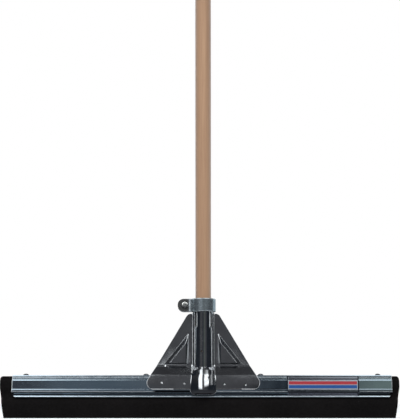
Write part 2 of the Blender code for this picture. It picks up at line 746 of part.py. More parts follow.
def build_slot_cutter():
    """Four slots round the collar: round at the top, drawn to a point at the foot."""
    shape = bmesh.new()
    top = BAND_BOTTOM - SLOT_BELOW_BAND
    half = SLOT_WIDTH / 2
    outline = rounded([
        (-half, top, half * 0.7), (half, top, half * 0.7), (half, top - SLOT_LENGTH + half, 0),
        (0.0, top - SLOT_LENGTH, 0), (-half, top - SLOT_LENGTH + half, 0),
    ])
    for angle in (SLOT_ANGLE, -SLOT_ANGLE, pi - SLOT_ANGLE, pi + SLOT_ANGLE):
        slot = prism(outline, "Y", -TUBE_RADIUS * 1.2, -TUBE_RADIUS * 0.6)
        bmesh.ops.rotate(slot, cent=(0, 0, 0), matrix=Matrix.Rotation(angle, 3, "Z"), verts=slot.verts)
        part = bpy.data.meshes.new("slot")
        slot.to_mesh(part)
        slot.free()
        shape.from_mesh(part)
        bpy.data.meshes.remove(part)
    return as_cutter(add_object("slot_cutter", shape, group=CUTTERS))


def build_welds(name, faces, radius, near, far):
    """Round discs between two depths at every spot weld of the named faces (-1 front, 1 rear)."""
    shape = bmesh.new()
    for face in faces:
        for side in (-1, 1):
            for reach in (POCKET_HALF + WELD_FROM_POCKET, skirt_end() - WELD_FROM_END):
                middle = face * (near + far) / 2
                place = Matrix.Translation((side * reach, middle, PANEL_TOP - WELD_DROP))
                bmesh.ops.create_cone(
                    shape, cap_ends=True, segments=WELD_STEPS, radius1=radius, radius2=radius,
                    depth=far - near, matrix=place @ Matrix.Rotation(pi / 2, 4, "X"),
                )
    return as_cutter(add_object(name, shape, group=CUTTERS))


def build_nail_hole():
    hole = add_object("nail_hole", rod(NAIL_HOLE_RADIUS, BORE_RADIUS / 2, 2 * TUBE_RADIUS), group=CUTTERS)
    hole.location = (NAIL_HOLE_SIDE, 0, CHANNEL_TOP + NAIL_HOLE_HEIGHT)
    hole.rotation_euler = (pi / 2, 0, 0)
    return as_cutter(hole)


# Clamp band, screw and nut


def band_path():
    """Middle line of the band in plan, from the tip of the front ear round to the rear one."""
    line = EAR_GAP / 2 + BAND_WALL / 2
    bend = BAND_MIDDLE + EAR_BEND
    side = sqrt(bend ** 2 - (line + EAR_BEND) ** 2)
    lean = atan2(line + EAR_BEND, side)
    path = [(-EAR_REACH, -line)]
    for step in range(ARC_STEPS + 1):
        angle = pi / 2 - (pi / 2 - lean) * step / ARC_STEPS
        path.append((-side + EAR_BEND * cos(angle), -line - EAR_BEND + EAR_BEND * sin(angle)))
    turn = 2 * (pi - lean)
    for step in range(1, TURN_STEPS):
        angle = pi + lean + turn * step / TURN_STEPS
        path.append((BAND_MIDDLE * cos(angle), BAND_MIDDLE * sin(angle)))
    for step in range(ARC_STEPS + 1):
        angle = lean + (pi / 2 - lean) * step / ARC_STEPS
        path.append((-side + EAR_BEND * cos(angle), line + EAR_BEND - EAR_BEND * sin(angle)))
    path.append((-EAR_REACH, line))
    return path


def build_band():
    shape = bmesh.new()
    grid(shape, [[(side, depth, level) for side, depth in band_path()] for level in (BAND_TOP, BAND_BOTTOM)])
    band = add_object("clamp_band", shape, BAND_STEEL)
    solidify(band, BAND_WALL, 0)
    far = BAND_MIDDLE + BAND_WALL
    outline = rounded([
        (far, BAND_BOTTOM - FIT, 0), (far, BAND_TOP + FIT, 0),
        (-EAR_REACH, BAND_TOP + FIT, EAR_RADIUS), (-EAR_REACH, BAND_BOTTOM - FIT, EAR_RADIUS),
    ])
    blank = add_object("ear_outline", prism(outline, "Y", -2 * far, 2 * far), group=CUTTERS)
    boolean(band, as_cutter(blank), "INTERSECT")
    hole = add_object("screw_hole", rod(SCREW_RADIUS + FIT, -far, far), group=CUTTERS)
    hole.location = screw_place(0)
    hole.rotation_euler = (pi / 2, 0, 0)
    boolean(band, as_cutter(hole))
    shade(band)


def screw_place(depth):
    return (-SCREW_REACH, depth, (BAND_TOP + BAND_BOTTOM) / 2)


def build_screw():
    """Pan-head screw through both ears from the rear, its slotted head at the rear."""
    seat = EAR_FACE + FIT
    end = -(EAR_FACE + FIT + NUT_HEIGHT + SCREW_END)
    head = []
    for step in range(ARC_STEPS + 1):
        angle = pi / 2 * (1 - step / ARC_STEPS)
        head.append((HEAD_RADIUS * cos(angle), seat + HEAD_HEIGHT * (0.35 + 0.65 * sin(angle))))
    head[0] = (0.0, seat + HEAD_HEIGHT)
    profile = head + [
        (HEAD_RADIUS, seat),
        (SCREW_RADIUS, seat),
        (SCREW_RADIUS, end + SCREW_RADIUS / 4),
        (SCREW_RADIUS * 0.75, end),
        (0.0, end),
    ]
    screw = turned("clamp_screw", profile, BRIGHT, SMALL_STEPS)
    half = HEAD_SLOT_WIDTH / 2
    outline = [(-half, 0.0), (half, 0.0), (half, 2 * HEAD_HEIGHT), (-half, 2 * HEAD_HEIGHT)]
    slot = add_object("head_slot", prism(outline, "Y", -2 * HEAD_RADIUS, 2 * HEAD_RADIUS), group=CUTTERS)
    slot.location = Vector(screw_place(seat + HEAD_HEIGHT - HEAD_SLOT_DEPTH))
    slot.rotation_euler = (-pi / 2, 0, 0)
    screw.location = screw_place(0)
    screw.rotation_euler = (-pi / 2, 0, 0)
    boolean(screw, as_cutter(slot))


def build_nut():
    """Hexagon nut on the front ear, its corners turned off at both faces."""
    seat = EAR_FACE + FIT
    corner = NUT_ACROSS / 2 / cos(pi / 6)
    shape = bmesh.new()
    bmesh.ops.create_cone(
        shape, cap_ends=True, segments=6, radius1=corner, radius2=corner, depth=NUT_HEIGHT,
        matrix=Matrix.Translation((0, 0, seat + NUT_HEIGHT / 2)),
    )
    nut = add_object("clamp_nut", shape, BRIGHT)
    above, below = seat + NUT_HEIGHT + FIT, seat - FIT
    blank_profile = [
        (0.0, above), (corner - NUT_CHAMFER - FIT, above), (corner + FIT, seat + NUT_HEIGHT / 2),
        (corner + FIT, below), (0.0, below),
    ]
    blank = turned("nut_blank", blank_profile, BRIGHT, SMALL_STEPS)
    SQUEEGEE.objects.unlink(blank)
    CUTTERS.objects.link(blank)
    bore = add_object("nut_bore", rod(SCREW_RADIUS + FIT, 0, 2 * EAR_FACE + NUT_HEIGHT), group=CUTTERS)
    for piece in (nut, blank, bore):
        piece.location = screw_place(0)
        piece.rotation_euler = (pi / 2, 0, 0)
    boolean(nut, as_cutter(blank), "INTERSECT")
    boolean(nut, as_cutter(bore))


# Label film


def offset_line(points, distance):
    """Open line of points (depth, height), moved outward by a distance with mitred corners."""
    line = [Vector(point) for point in points]
    moved = []
    for index, here in enumerate(line):
        before = (here - line[max(index - 1, 0)]).normalized()
        after = (line[min(index + 1, len(line) - 1)] - here).normalized()
        along = (before + after).normalized()
        outward = Vector((-along.y, along.x))
        side = after if after.length else before
        moved.append(here + outward * distance / outward.dot(Vector((-side.y, side.x))))
    return [(point.x, point.y) for point in moved]


def build_label():
    """Film that follows the channel's front from its shoulder down to the hem."""
    lowest, highest = CHANNEL_BOTTOM + HEM_RADIUS, CHANNEL_TOP - LABEL_DROP
    covered = [point for point in channel_profile() if lowest <= point[1] <= highest]
    near = offset_line(covered, FIT)
    far = offset_line(covered, FIT + LABEL_THICKNESS)
    middle = (skirt_end() + CHANNEL_OFFSET + CHANNEL_LENGTH / 2) / 2 + LABEL_SHIFT
    half = LABEL_LENGTH / 2
    section = [(-depth, height) for depth, height in near + far[::-1]]
    film = add_object("label_film", prism(section, "X", middle - half, middle + half), FILM)
    shade(film)


RIVET_HOLES = build_rivet_holes()
SLOT_CUTTER = build_slot_cutter()
MARK_BOTTOM = SKIRT_OUT - WELD_MARK_DEPTH
WELD_MARKS = build_welds("weld_marks", [-1, 1], WELD_MARK_RADIUS, MARK_BOTTOM, SKIRT_OUT + FIT)
NAIL_HOLE = build_nail_hole()

build_channel()
build_inner_channel()
build_rivets()
build_lip("rubber_lip_front", -1, 0.0)
build_lip("rubber_lip_rear", 1, LIP_STEP)
build_handle()
build_shell("socket_shell_front", 0.0, -1)
build_shell("socket_shell_rear", pi, 1)
build_band()
build_screw()
build_nut()
build_label()
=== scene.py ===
"""Floor squeegee, dressed for rendering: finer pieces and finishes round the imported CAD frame."""

from math import acos, asin, atan2, cos, degrees, hypot, pi, radians, sin, sqrt, tan

import bmesh
import bpy
from mathutils import Matrix, Vector


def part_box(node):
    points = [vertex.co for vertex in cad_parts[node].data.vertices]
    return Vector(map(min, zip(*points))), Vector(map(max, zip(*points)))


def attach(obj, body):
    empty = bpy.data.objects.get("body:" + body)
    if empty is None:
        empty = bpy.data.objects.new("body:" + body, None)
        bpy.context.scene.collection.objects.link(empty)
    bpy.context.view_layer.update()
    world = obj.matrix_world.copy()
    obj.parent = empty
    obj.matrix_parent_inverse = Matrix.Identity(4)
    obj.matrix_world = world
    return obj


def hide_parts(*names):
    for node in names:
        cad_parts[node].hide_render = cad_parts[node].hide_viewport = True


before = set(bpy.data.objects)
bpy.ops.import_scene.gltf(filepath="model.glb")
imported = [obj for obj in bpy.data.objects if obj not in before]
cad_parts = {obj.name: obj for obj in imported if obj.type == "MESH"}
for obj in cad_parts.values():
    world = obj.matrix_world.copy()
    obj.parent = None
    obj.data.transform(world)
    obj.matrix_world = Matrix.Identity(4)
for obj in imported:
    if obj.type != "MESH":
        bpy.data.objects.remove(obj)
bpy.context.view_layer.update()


# Rubber lips
# Two strips of black cellular rubber stand one behind the other. Each is moulded with a swollen free lip and
# a neck, its ends are cut at a slant, and the channel's crimped waist grips it.

LIP_LENGTHS = {"rubber_lip_front": 0.54998, "rubber_lip_rear": 0.5460}
LIP_MIDDLE = -0.0052
LIP_TOP = 0.0567
LIP_INNER = 0.0042
LIP_SLANT_TOP = 0.0420          # height where the ends start to lean in
LIP_SLANT = 0.0067
LIP_TOP_RADIUS = 0.0042
LIP_FRONT = (                   # depth of the outer face at each height
    (0.0000, 0.0119), (0.0096, 0.01275), (0.0191, 0.01275), (0.0235, 0.0117), (0.0262, 0.0097),
    (0.0307, 0.0097), (0.0336, 0.0101), (0.0405, 0.0122), (0.0500, 0.0122), (0.0535, 0.0108), (LIP_TOP, 0.0106),
)
LIP_ROWS = 40
LIP_COLUMNS = 90
LIP_EDGE_RADIUS = 0.0009
# The rounded end corners are lightened: dust, and a painted highlight on their edges.
LIP_CORNER_RADIUS, LIP_CORNER_DUST_AND_HIGHLIGHT = 0.0022, 0.8


def shaped_grid(shape, across, down, place):
    """Add a grid of quads to a bmesh; its point (column, row) goes to place(column, row)."""
    made = bmesh.ops.create_grid(shape, x_segments=across, y_segments=down, size=0.5)
    for vert in made["verts"]:
        column = round((vert.co.x + 0.5) * across)
        row = round((0.5 - vert.co.y) * down)
        vert.co = place(column, row)
    return made["verts"]


def along(pairs, value):
    """Second number of sorted pairs, read at a value of the first."""
    for (low, here), (high, there) in zip(pairs, pairs[1:]):
        if value <= high:
            return here + (there - here) * max(0.0, (value - low) / (high - low))
    return pairs[-1][1]


def add_piece(name, shape, *finishes, angle=38):
    """Make a shown object from a bmesh, smooth up to an angle, and free the bmesh."""
    mesh = bpy.data.meshes.new(name)
    shape.to_mesh(mesh)
    shape.free()
    for finish in finishes:
        mesh.materials.append(finish)
    mesh.shade_smooth()
    mesh.set_sharp_from_angle(angle=radians(angle))
    made = bpy.data.objects.new(name, mesh)
    bpy.context.scene.collection.objects.link(made)
    return made


def round_edges(piece, width, segments=3, angle=50):
    soften = piece.modifiers.new("soft_edges", "BEVEL")
    soften.width = width
    soften.segments = segments
    soften.limit_method = "ANGLE"
    soften.angle_limit = radians(angle)
    soften.harden_normals = True


def feed(tree, node, feeds):
    """Link each named socket of a node to another socket, or set a plain value on the socket itself."""
    for socket, value in feeds.items():
        if isinstance(value, bpy.types.NodeSocket):
            tree.links.new(value, node.inputs[socket])
        else:
            node.inputs[socket].default_value = value
    return node


def add_node(tree, kind, feeds=None, **settings):
    """Add a node with its settings, then feed its sockets."""
    made = tree.nodes.new(kind)
    for key, value in settings.items():
        setattr(made, key, value)
    return feed(tree, made, feeds or {})


def new_finish(name):
    """A material with its Principled shader, its tree and its object coordinates."""
    finish = bpy.data.materials.new(name)
    finish.use_nodes = True
    tree = finish.node_tree
    coords = add_node(tree, "ShaderNodeTexCoord").outputs["Object"]
    return finish, tree, tree.nodes["Principled BSDF"], coords


def noise(tree, coords, scale, detail=3.0, rough=0.55):
    """Noise of one scale, or stretched by a scale of its own along each axis."""
    if isinstance(scale, tuple):
        coords = add_node(tree, "ShaderNodeMapping", {"Vector": coords, "Scale": scale}).outputs["Vector"]
        scale = 1.0
    return add_node(tree, "ShaderNodeTexNoise", {
        "Vector": coords, "Scale": scale, "Detail": detail, "Roughness": rough,
    }).outputs["Fac"]


def remap(tree, value, low, high, to_low=0.0, to_high=1.0):
    return add_node(tree, "ShaderNodeMapRange", {
        "Value": value, "From Min": low, "From Max": high, "To Min": to_low, "To Max": to_high,
    }).outputs["Result"]


def mix(tree, share, first, second):
    """Colour between two others, each of them a socket or (red, green, blue)."""
    first, second = ((*colour, 1.0) if isinstance(colour, tuple) else colour for colour in (first, second))
    return add_node(tree, "ShaderNodeMix", {0: share, 6: first, 7: second}, data_type="RGBA").outputs[2]


def combine(tree, operation, first, second=0.0, third=0.0):
    feeds = {0: first, 1: second, 2: third}
    return add_node(tree, "ShaderNodeMath", feeds, operation=operation).outputs[0]


def times(tree, first, second):
    return combine(tree, "MULTIPLY", first, second)


def bump(tree, height, strength, distance, normal=None):
    feeds = {"Height": height, "Strength": strength, "Distance": distance}
    if normal:
        feeds["Normal"] = normal
    return add_node(tree, "ShaderNodeBump", feeds).outputs["Normal"]


def new_group(name, inputs, outputs):
    """An empty shader node group: its tree, the sockets that it is given and its end node."""
    tree = bpy.data.node_groups.new(name, "ShaderNodeTree")
    for direction, sockets in (("INPUT", inputs), ("OUTPUT", outputs)):
        for socket in sockets:
            kind = "NodeSocketVector" if socket == "Vector" else "NodeSocketFloat"
            tree.interface.new_socket(name=socket, in_out=direction, socket_type=kind)
    return tree, tree.nodes.new("NodeGroupInput").outputs, tree.nodes.new("NodeGroupOutput")


def wear_and_highlight_group():
    """Wear and painted highlights on marked places, broken up by a grain that lets through between the least
    and the most of it.
    """
    tree, given, end = new_group(
        "edge_wear_and_highlight", ("Edge", "Grain", "Grain Low", "Grain High", "Least", "Most"), ("Worn And Lit",),
    )
    patches = remap(tree, *(given[name] for name in ("Grain", "Grain Low", "Grain High", "Least", "Most")))
    feed(tree, end, {"Worn And Lit": times(tree, given["Edge"], patches)})
    return tree


EDGE_WEAR_AND_HIGHLIGHT = wear_and_highlight_group()


def edge_mark(tree):
    """How far each place is marked as worn and for painted highlights in the piece's mesh."""
    return add_node(tree, "ShaderNodeAttribute", attribute_name="edge").outputs["Fac"]


def edge_wear_and_highlight(tree, edge, grain, low, high, least, most):
    return add_node(tree, "ShaderNodeGroup", {
        "Edge": edge, "Grain": grain, "Grain Low": low, "Grain High": high, "Least": least, "Most": most,
    }, node_tree=EDGE_WEAR_AND_HIGHLIGHT).outputs["Worn And Lit"]


def foam_rubber():
    """Black cellular rubber: small open cells under a cloudy skin, dust on the rounded ends that also paints a
    highlight there.
    """
    finish, tree, shader, coords = new_finish("foam_rubber")
    cells = add_node(tree, "ShaderNodeTexVoronoi", {"Vector": coords, "Scale": 900.0}).outputs["Distance"]
    skin = noise(tree, coords, 260.0, 4.0)
    clouds = noise(tree, coords, 22.0, 2.0)
    tone = mix(tree, remap(tree, clouds, 0.35, 0.7), (0.0030, 0.0025, 0.0027), (0.0046, 0.0038, 0.0040))
    dust_and_highlight = edge_wear_and_highlight(tree, edge_mark(tree), skin, 0.3, 0.7, 0.25, 0.6)
    pitted = bump(tree, cells, 0.35, 0.0003)
    feed(tree, shader, {
        "Base Color": mix(tree, dust_and_highlight, tone, (0.060, 0.054, 0.052)),
        "Roughness": remap(tree, skin, 0.3, 0.7, 0.72, 0.92),
        "Specular IOR Level": 0.12,
        "Normal": bump(tree, skin, 0.25, 0.0005, pitted),
    })
    return finish


RUBBER = foam_rubber()


def lip_height(row):
    return LIP_TOP * (1 - cos(pi * row / LIP_ROWS)) / 2


def lip_half(length, height):
    """Half length of the lip at a height: slanted foot, rounded top corner."""
    half = length / 2
    if height < LIP_SLANT_TOP:
        lean = 1 - height / LIP_SLANT_TOP
        return half - LIP_SLANT * lean * (0.75 + 0.25 * lean)
    rise = height - (LIP_TOP - LIP_TOP_RADIUS)
    if rise > 0:
        return half - LIP_TOP_RADIUS + sqrt(max(0.0, LIP_TOP_RADIUS ** 2 - rise ** 2))
    return half


def build_lip(name, side):
    shape = bmesh.new()
    length = LIP_LENGTHS[name]
    brightened = shape.verts.layers.float.new("edge")

    def place(column, row):
        height = lip_height(row)
        share = sin(pi * (column / LIP_COLUMNS - 0.5))
        return Vector((LIP_MIDDLE + share * lip_half(length, height), side * along(LIP_FRONT, height), height))

    shaped_grid(shape, LIP_COLUMNS, LIP_ROWS, place)
    swept = bmesh.ops.extrude_face_region(shape, geom=shape.faces[:])["geom"]
    for vert in swept:
        if isinstance(vert, bmesh.types.BMVert):
            vert.co.y = side * LIP_INNER
    bmesh.ops.recalc_face_normals(shape, faces=shape.faces)
    ends = [
        edge for edge in shape.edges
        if edge.calc_face_angle(0.0) > radians(50) and abs(edge.verts[0].co.y) > LIP_INNER * 1.2
        and abs(edge.verts[0].co.x - LIP_MIDDLE) > length * 0.45
        and abs(edge.verts[1].co.x - LIP_MIDDLE) > length * 0.45
        and abs(edge.verts[0].co.z - edge.verts[1].co.z) > 1e-5
    ]
    rounded = bmesh.ops.bevel(
        shape, geom=ends, offset=LIP_CORNER_RADIUS, segments=4, profile=0.5, affect="EDGES", material=-1,
    )
    # Painted highlight with the dust: the rounded corners are marked light.
    for vert in rounded["verts"]:
        vert[brightened] = LIP_CORNER_DUST_AND_HIGHLIGHT
    lip = add_piece(name + "_rubber", shape, RUBBER)
    round_edges(lip, LIP_EDGE_RADIUS)
    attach(lip, "head")
    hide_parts(name)


build_lip("rubber_lip_front", -1)
build_lip("rubber_lip_rear", 1)


# Inner channel
# A small inverted U of galvanised sheet steel keeps the two lips apart inside the blade. Four rivets hold it
# under the outer channel, and only its ends and its open underside show.


def rolling_group():
    """Rolling marks along X: fine streaks, broad tone and smudges, for sheet that came off a roll."""
    tree, given, end = new_group("rolling_marks", ("Vector",), ("Streak", "Tone", "Smudge"))
    feed(tree, end, {
        "Streak": noise(tree, given["Vector"], (12.0, 1100.0, 1100.0), 3.0),
        "Tone": noise(tree, given["Vector"], (9.0, 60.0, 60.0), 2.0),
        "Smudge": noise(tree, given["Vector"], 75.0, 5.0, 0.6),
    })
    return tree


ROLLING_MARKS = rolling_group()


def within(tree, value, rise, fall, share=1.0):
    """Mask that comes up over one range of a value and goes down again over a later one."""
    return times(tree, remap(tree, value, *rise), remap(tree, value, *fall, share, 0.0))


def zinc_sheet(name, dull, bright, rough, bright_colour, lines=(), painted_shade=()):
    """Zinc-coated sheet: bluish, streaked along its length, its edges rubbed, its folds rubbed and painted
    bright as highlights, bands of painted shade in its hollows.
    """
    finish, tree, shader, coords = new_finish(name)
    place = add_node(tree, "ShaderNodeSeparateXYZ", {"Vector": coords}).outputs
    marks = add_node(tree, "ShaderNodeGroup", node_tree=ROLLING_MARKS)
    tree.links.new(coords, marks.inputs["Vector"])
    streak, smudge = marks.outputs["Streak"], marks.outputs["Smudge"]
    tone = mix(tree, remap(tree, marks.outputs["Tone"], 0.30, 0.70), dull, bright)
    streaked = mix(tree, remap(tree, streak, 0.45, 0.75, 0.0, 0.15), tone, bright_colour)
    edge = edge_mark(tree)
    # Folds from the table are brightened, partly as rubbing and partly as painted highlight lines.
    for height, reach, share in lines:
        away = combine(tree, "ABSOLUTE", combine(tree, "SUBTRACT", place["Z"], height))
        edge = combine(tree, "MAXIMUM", edge, remap(tree, away, reach * 0.3, reach, share, 0.0))
    worn_and_lit = edge_wear_and_highlight(tree, edge, smudge, 0.25, 0.55, 0.75, 1.0)
    colour = mix(tree, worn_and_lit, streaked, bright_colour)
    # Painted shade: near-black bands where the hollows and the strip under the shells' skirt lie in shadow.
    for (left, right), (low, high), share in painted_shade:
        across = within(tree, place["X"], (left - 0.004, left), (right, right + 0.004), share)
        upright = within(tree, place["Z"], (low - 0.0005, low), (high, high + 0.0005))
        colour = mix(tree, times(tree, across, upright), colour, (0.015, 0.017, 0.020))
    smudged = remap(tree, smudge, 0.35, 0.75, rough, rough + 0.04)
    waves = noise(tree, coords, (14.0, 30.0, 30.0), 1.0)
    feed(tree, shader, {
        "Base Color": colour,
        "Metallic": 1.0,
        "Roughness": combine(tree, "MULTIPLY_ADD", worn_and_lit, 0.34, smudged),
        "Normal": bump(tree, waves, 0.06, 0.002, bump(tree, streak, 0.02, 0.0001)),
    })
    return finish


ZINC_INNER = zinc_sheet("inner_zinc_sheet", (0.42, 0.46, 0.50), (0.55, 0.60, 0.64), 0.32, (0.75, 0.78, 0.80))
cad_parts["inner_channel"].data.materials.clear()
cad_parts["inner_channel"].data.materials.append(ZINC_INNER)


# Outer channel
# Roll-formed from one strip of zinc-coated steel: round shoulders, a step, a flat panel, a ridge, a crimped
# waist and a hem rolled in against the rubber. Its lower corners are cut off at 45 degrees.

CHANNEL_LEFT, CHANNEL_RIGHT = -0.2633, 0.2593
CHANNEL_TOP = 0.0580
CHANNEL_FOOT = 0.0273
CHANNEL_WALL = 0.0010
WAIST_DEPTH, HEM_DEPTH, HEM_RADIUS, HEM_STEPS = 0.0117, 0.0131, 0.0016, 16
CHANNEL_BENDS = (               # depth and height of each bend of the outer face, and its radius
    (0.0124, 0.0580, 0.0008), (0.0124, 0.0525, 0.0008), (0.0138, 0.0510, 0.0008), (0.0138, 0.0391, 0.0005),
    (0.0146, 0.0382, 0.0005), (0.0146, 0.0351, 0.0008), (WAIST_DEPTH, 0.0325, 0.0010),
)
CORNER_CUT = 0.0055
CHANNEL_RUBBED_AND_LIT = (              # height and half height of the folds rubbed by handling and painted bright as highlight lines, and how much
    (0.0551, 0.0019, 0.58), (0.0358, 0.0009, 0.95), (0.0288, 0.0012, 0.70),
)
CHANNEL_PAINTED_SHADE = (                # painted shade: from and to along X, from and to in height, and how dark it is painted; along the waist, under the shells' skirt and towards the ends
    ((-0.3, 0.3), (0.0309, 0.0338), 0.72), ((-0.066, -0.019), (0.0350, 0.0372), 1.0),
    ((0.215, 0.3), (0.0306, 0.0345), 0.9), ((0.215, 0.3), (0.0364, 0.0381), 0.6),
    ((-0.3, -0.195), (0.0309, 0.0342), 0.5), ((0.05, 0.117), (0.0385, 0.0396), 0.6),
)
CHANNEL_COLUMNS = 96
EDGE_REACH = 0.0006             # how far in from the sheet's cut ends it is rubbed bright


def corner_arc(before, corner, after, radius, steps=6):
    """Points of a corner between two straight lines, rounded with a radius."""
    here = Vector(corner)
    back, ahead = (Vector(before) - here).normalized(), (Vector(after) - here).normalized()
    half = back.angle(ahead) / 2
    middle = here + (back + ahead).normalized() * radius / sin(half)
    first = here + back * radius / tan(half) - middle
    turn = first.angle_signed(here + ahead * radius / tan(half) - middle)
    return [middle + Matrix.Rotation(-turn * step / steps, 2) @ first for step in range(steps + 1)]


def channel_profile():
    """Outer face from the middle of the top down to the rolled-in hem: (depth, height)."""
    line = [(0.0, CHANNEL_TOP), (0.0060, CHANNEL_TOP)]
    hem_top = (WAIST_DEPTH, CHANNEL_FOOT + HEM_RADIUS * 2)
    corners = [line[-1]] + [bend[:2] for bend in CHANNEL_BENDS] + [hem_top]
    for index, bend in enumerate(CHANNEL_BENDS, 1):
        rounded = corner_arc(corners[index - 1], bend[:2], corners[index + 1], bend[2])
        line += [tuple(point) for point in rounded]
    line.append(hem_top)
    for step in range(HEM_STEPS + 1):
        turn = radians(75) - radians(195) * step / HEM_STEPS
        line.append((
            HEM_DEPTH - HEM_RADIUS * (1 - cos(turn)), CHANNEL_FOOT + HEM_RADIUS * (1 + sin(turn)),
        ))
    return line


def face_outward(shape, outward):
    """Turn the faces of an open sheet so that the one furthest outward looks that way."""
    bmesh.ops.recalc_face_normals(shape, faces=shape.faces)
    furthest = max(shape.faces, key=lambda face: face.calc_center_median().dot(outward))
    if furthest.normal.dot(outward) < 0:
        bmesh.ops.reverse_faces(shape, faces=shape.faces)


def thicken(piece, thickness, offset=-1):
    """Give a sheet its wall: behind its face with an offset of -1, to both sides with 0, in front with 1."""
    wall = piece.modifiers.new("wall", "SOLIDIFY")
    wall.thickness = thickness
    wall.offset = offset


def build_channel():
    shape = bmesh.new()
    brightened = shape.verts.layers.float.new("edge")
    half = channel_profile()
    line = [(-depth, height) for depth, height in half[:0:-1]] + half

    def place(column, row):
        share = column / CHANNEL_COLUMNS
        reach = 0.5 - 0.5 * cos(pi * share) if 0 < share < 1 else share
        depth, height = line[row]
        return Vector((CHANNEL_LEFT + (CHANNEL_RIGHT - CHANNEL_LEFT) * reach, -depth, height))

    shaped_grid(shape, CHANNEL_COLUMNS, len(line) - 1, place)
    for end, outward in ((CHANNEL_LEFT, -1), (CHANNEL_RIGHT, 1)):
        bmesh.ops.bisect_plane(
            shape, geom=shape.verts[:] + shape.edges[:] + shape.faces[:], clear_outer=True,
            plane_co=(end, 0, CHANNEL_FOOT + CORNER_CUT), plane_no=(outward, 0, -1),
        )
    face_outward(shape, Vector((0, 0, 1)))
    for vert in shape.verts:
        inside = min(vert.co.x - CHANNEL_LEFT, CHANNEL_RIGHT - vert.co.x)
        cut = min(inside, (inside + vert.co.z - CHANNEL_FOOT - CORNER_CUT) / sqrt(2))
        vert[brightened] = 1.0 if cut < EDGE_REACH else 0.0
    return shape


ZINC = zinc_sheet(
    "zinc_coated_sheet", (0.54, 0.66, 0.76), (0.62, 0.76, 0.86), 0.08, (0.84, 0.88, 0.91),
    CHANNEL_RUBBED_AND_LIT, CHANNEL_PAINTED_SHADE,
)
channel = add_piece("channel_sheet", build_channel(), ZINC, angle=60)
thicken(channel, CHANNEL_WALL)
round_edges(channel, width=0.0003, segments=2, angle=70)
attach(channel, "head")
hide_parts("channel")


# Rivets
# Four domed steel rivets join the two channels, their heads on top and their tails turned over inside. They
# are coloured far darker than the screw and nut, from the same steel finish.

RIVET_HEAD, RIVET_FOOT, RIVET_RISE = 0.0038, 0.0004, 0.0021     # radius of the head, foot and rise of its dome
RIVET_SHANK = (                 # radius and height: under the head, down the shank and round the tail
    (0.0038, 0.0001), (0.0020, 0.0001), (0.0020, -0.0025), (0.0030, -0.0026), (0.0030, -0.0035),
    (0.0022, -0.0041), (0.0, -0.0041),
)
RIVET_SIDES = 24


def fastener_steel(name, dull, bright):
    """Plain steel, turned or headed, with fine wear all over."""
    finish, tree, shader, coords = new_finish(name)
    brightened = noise(tree, coords, 420.0, 4.0)
    feed(tree, shader, {
        "Base Color": mix(tree, remap(tree, brightened, 0.35, 0.7), dull, bright),
        "Metallic": 1.0,
        "Roughness": remap(tree, brightened, 0.3, 0.7, 0.18, 0.34),
        "Normal": bump(tree, brightened, 0.15, 0.0002),
    })
    return finish


DARK_RIVET_STEEL = fastener_steel("dark_rivet_steel", (0.09, 0.09, 0.10), (0.22, 0.22, 0.23))


def spun(profile, steps):
    """Closed bmesh from a profile (radius, height) turned once round Z."""
    shape = bmesh.new()
    line = [shape.verts.new((radius, 0, height)) for radius, height in profile]
    edges = [shape.edges.new(pair) for pair in zip(line, line[1:])]
    bmesh.ops.spin(
        shape, geom=line + edges, cent=(0, 0, 0), axis=(0, 0, 1), angle=2 * pi, steps=steps, use_merge=True,
    )
    bmesh.ops.remove_doubles(shape, verts=shape.verts, dist=1e-6)
    bmesh.ops.recalc_face_normals(shape, faces=shape.faces)
    return shape


def dome(radius, foot, rise, steps=8):
    """Profile (radius, height) of a domed head, from its crown down to its edge."""
    turns = [pi / 2 * (1 - step / steps) for step in range(1, steps + 1)]
    return [(0.0, foot + rise)] + [(radius * cos(turn), foot + rise * sin(turn)) for turn in turns]


for number in range(1, 5):
    low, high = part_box("channel_rivet_%d" % number)
    rivet_shape = spun(dome(RIVET_HEAD, RIVET_FOOT, RIVET_RISE) + list(RIVET_SHANK), RIVET_SIDES)
    bmesh.ops.translate(rivet_shape, verts=rivet_shape.verts, vec=((low.x + high.x) / 2, 0, CHANNEL_TOP))
    rivet = add_piece("rivet_%d" % number, rivet_shape, DARK_RIVET_STEEL)
    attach(rivet, "head")
    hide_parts("channel_rivet_%d" % number)


# Socket shells
# Two half shells pressed from sheet steel stand back to back: half the handle socket, two wings with raised
# triangles, a skirt that steps out over the channel, and a flared pocket at the foot. They are spot welded.

SHELL_WALL = 0.0020
TUBE_RADIUS = 0.0133
WING_DEPTH = 0.0022
TUBE_FOLD, POCKET_FOLD = 0.01633, 0.0182
SOCKET_TOP, WING_TOP, STEP_HIGH, SKIRT_FOOT = 0.1640, 0.1438, 0.0725, 0.0385
CROWN_SLOPES = (                # height and slope of the crown as it is pressed out into the pocket
    (0.0691, 0.0), (0.0689, 0.70), (0.0600, 0.70), (0.0535, 0.317), (SKIRT_FOOT, 0.08),
)
SKIRT_SLOPES = (                # the same for wing and skirt, where they step out over the channel
    (STEP_HIGH, 0.0), (0.0695, 0.95), (0.0600, 0.95), (0.0545, 0.15), (0.0430, 0.03), (SKIRT_FOOT, 0.02),
)
CROWN_BULGE = (                 # height, curvature of the crown and how far to each side it holds
    (SKIRT_FOOT, 57.0, 0.0070), (0.0480, 53.0, 0.0072), (0.0560, 49.0, 0.0078), (0.0615, 42.0, 0.0084),
    (0.0655, 40.0, 0.0084), (0.0690, 1 / TUBE_RADIUS, 0.0050),
)
SIDE_RADIUS = ((SKIRT_FOOT, 0.0080), (0.0655, 0.0080), (0.0690, TUBE_RADIUS))
FOLD_RADIUS = ((SKIRT_FOOT, 0.0028), (0.0655, 0.0028), (0.0720, 0.0042))
WING_TOP_SIDE, WING_TOP_RADIUS = 0.02139, 0.0070
WING_LEAN = radians(31)
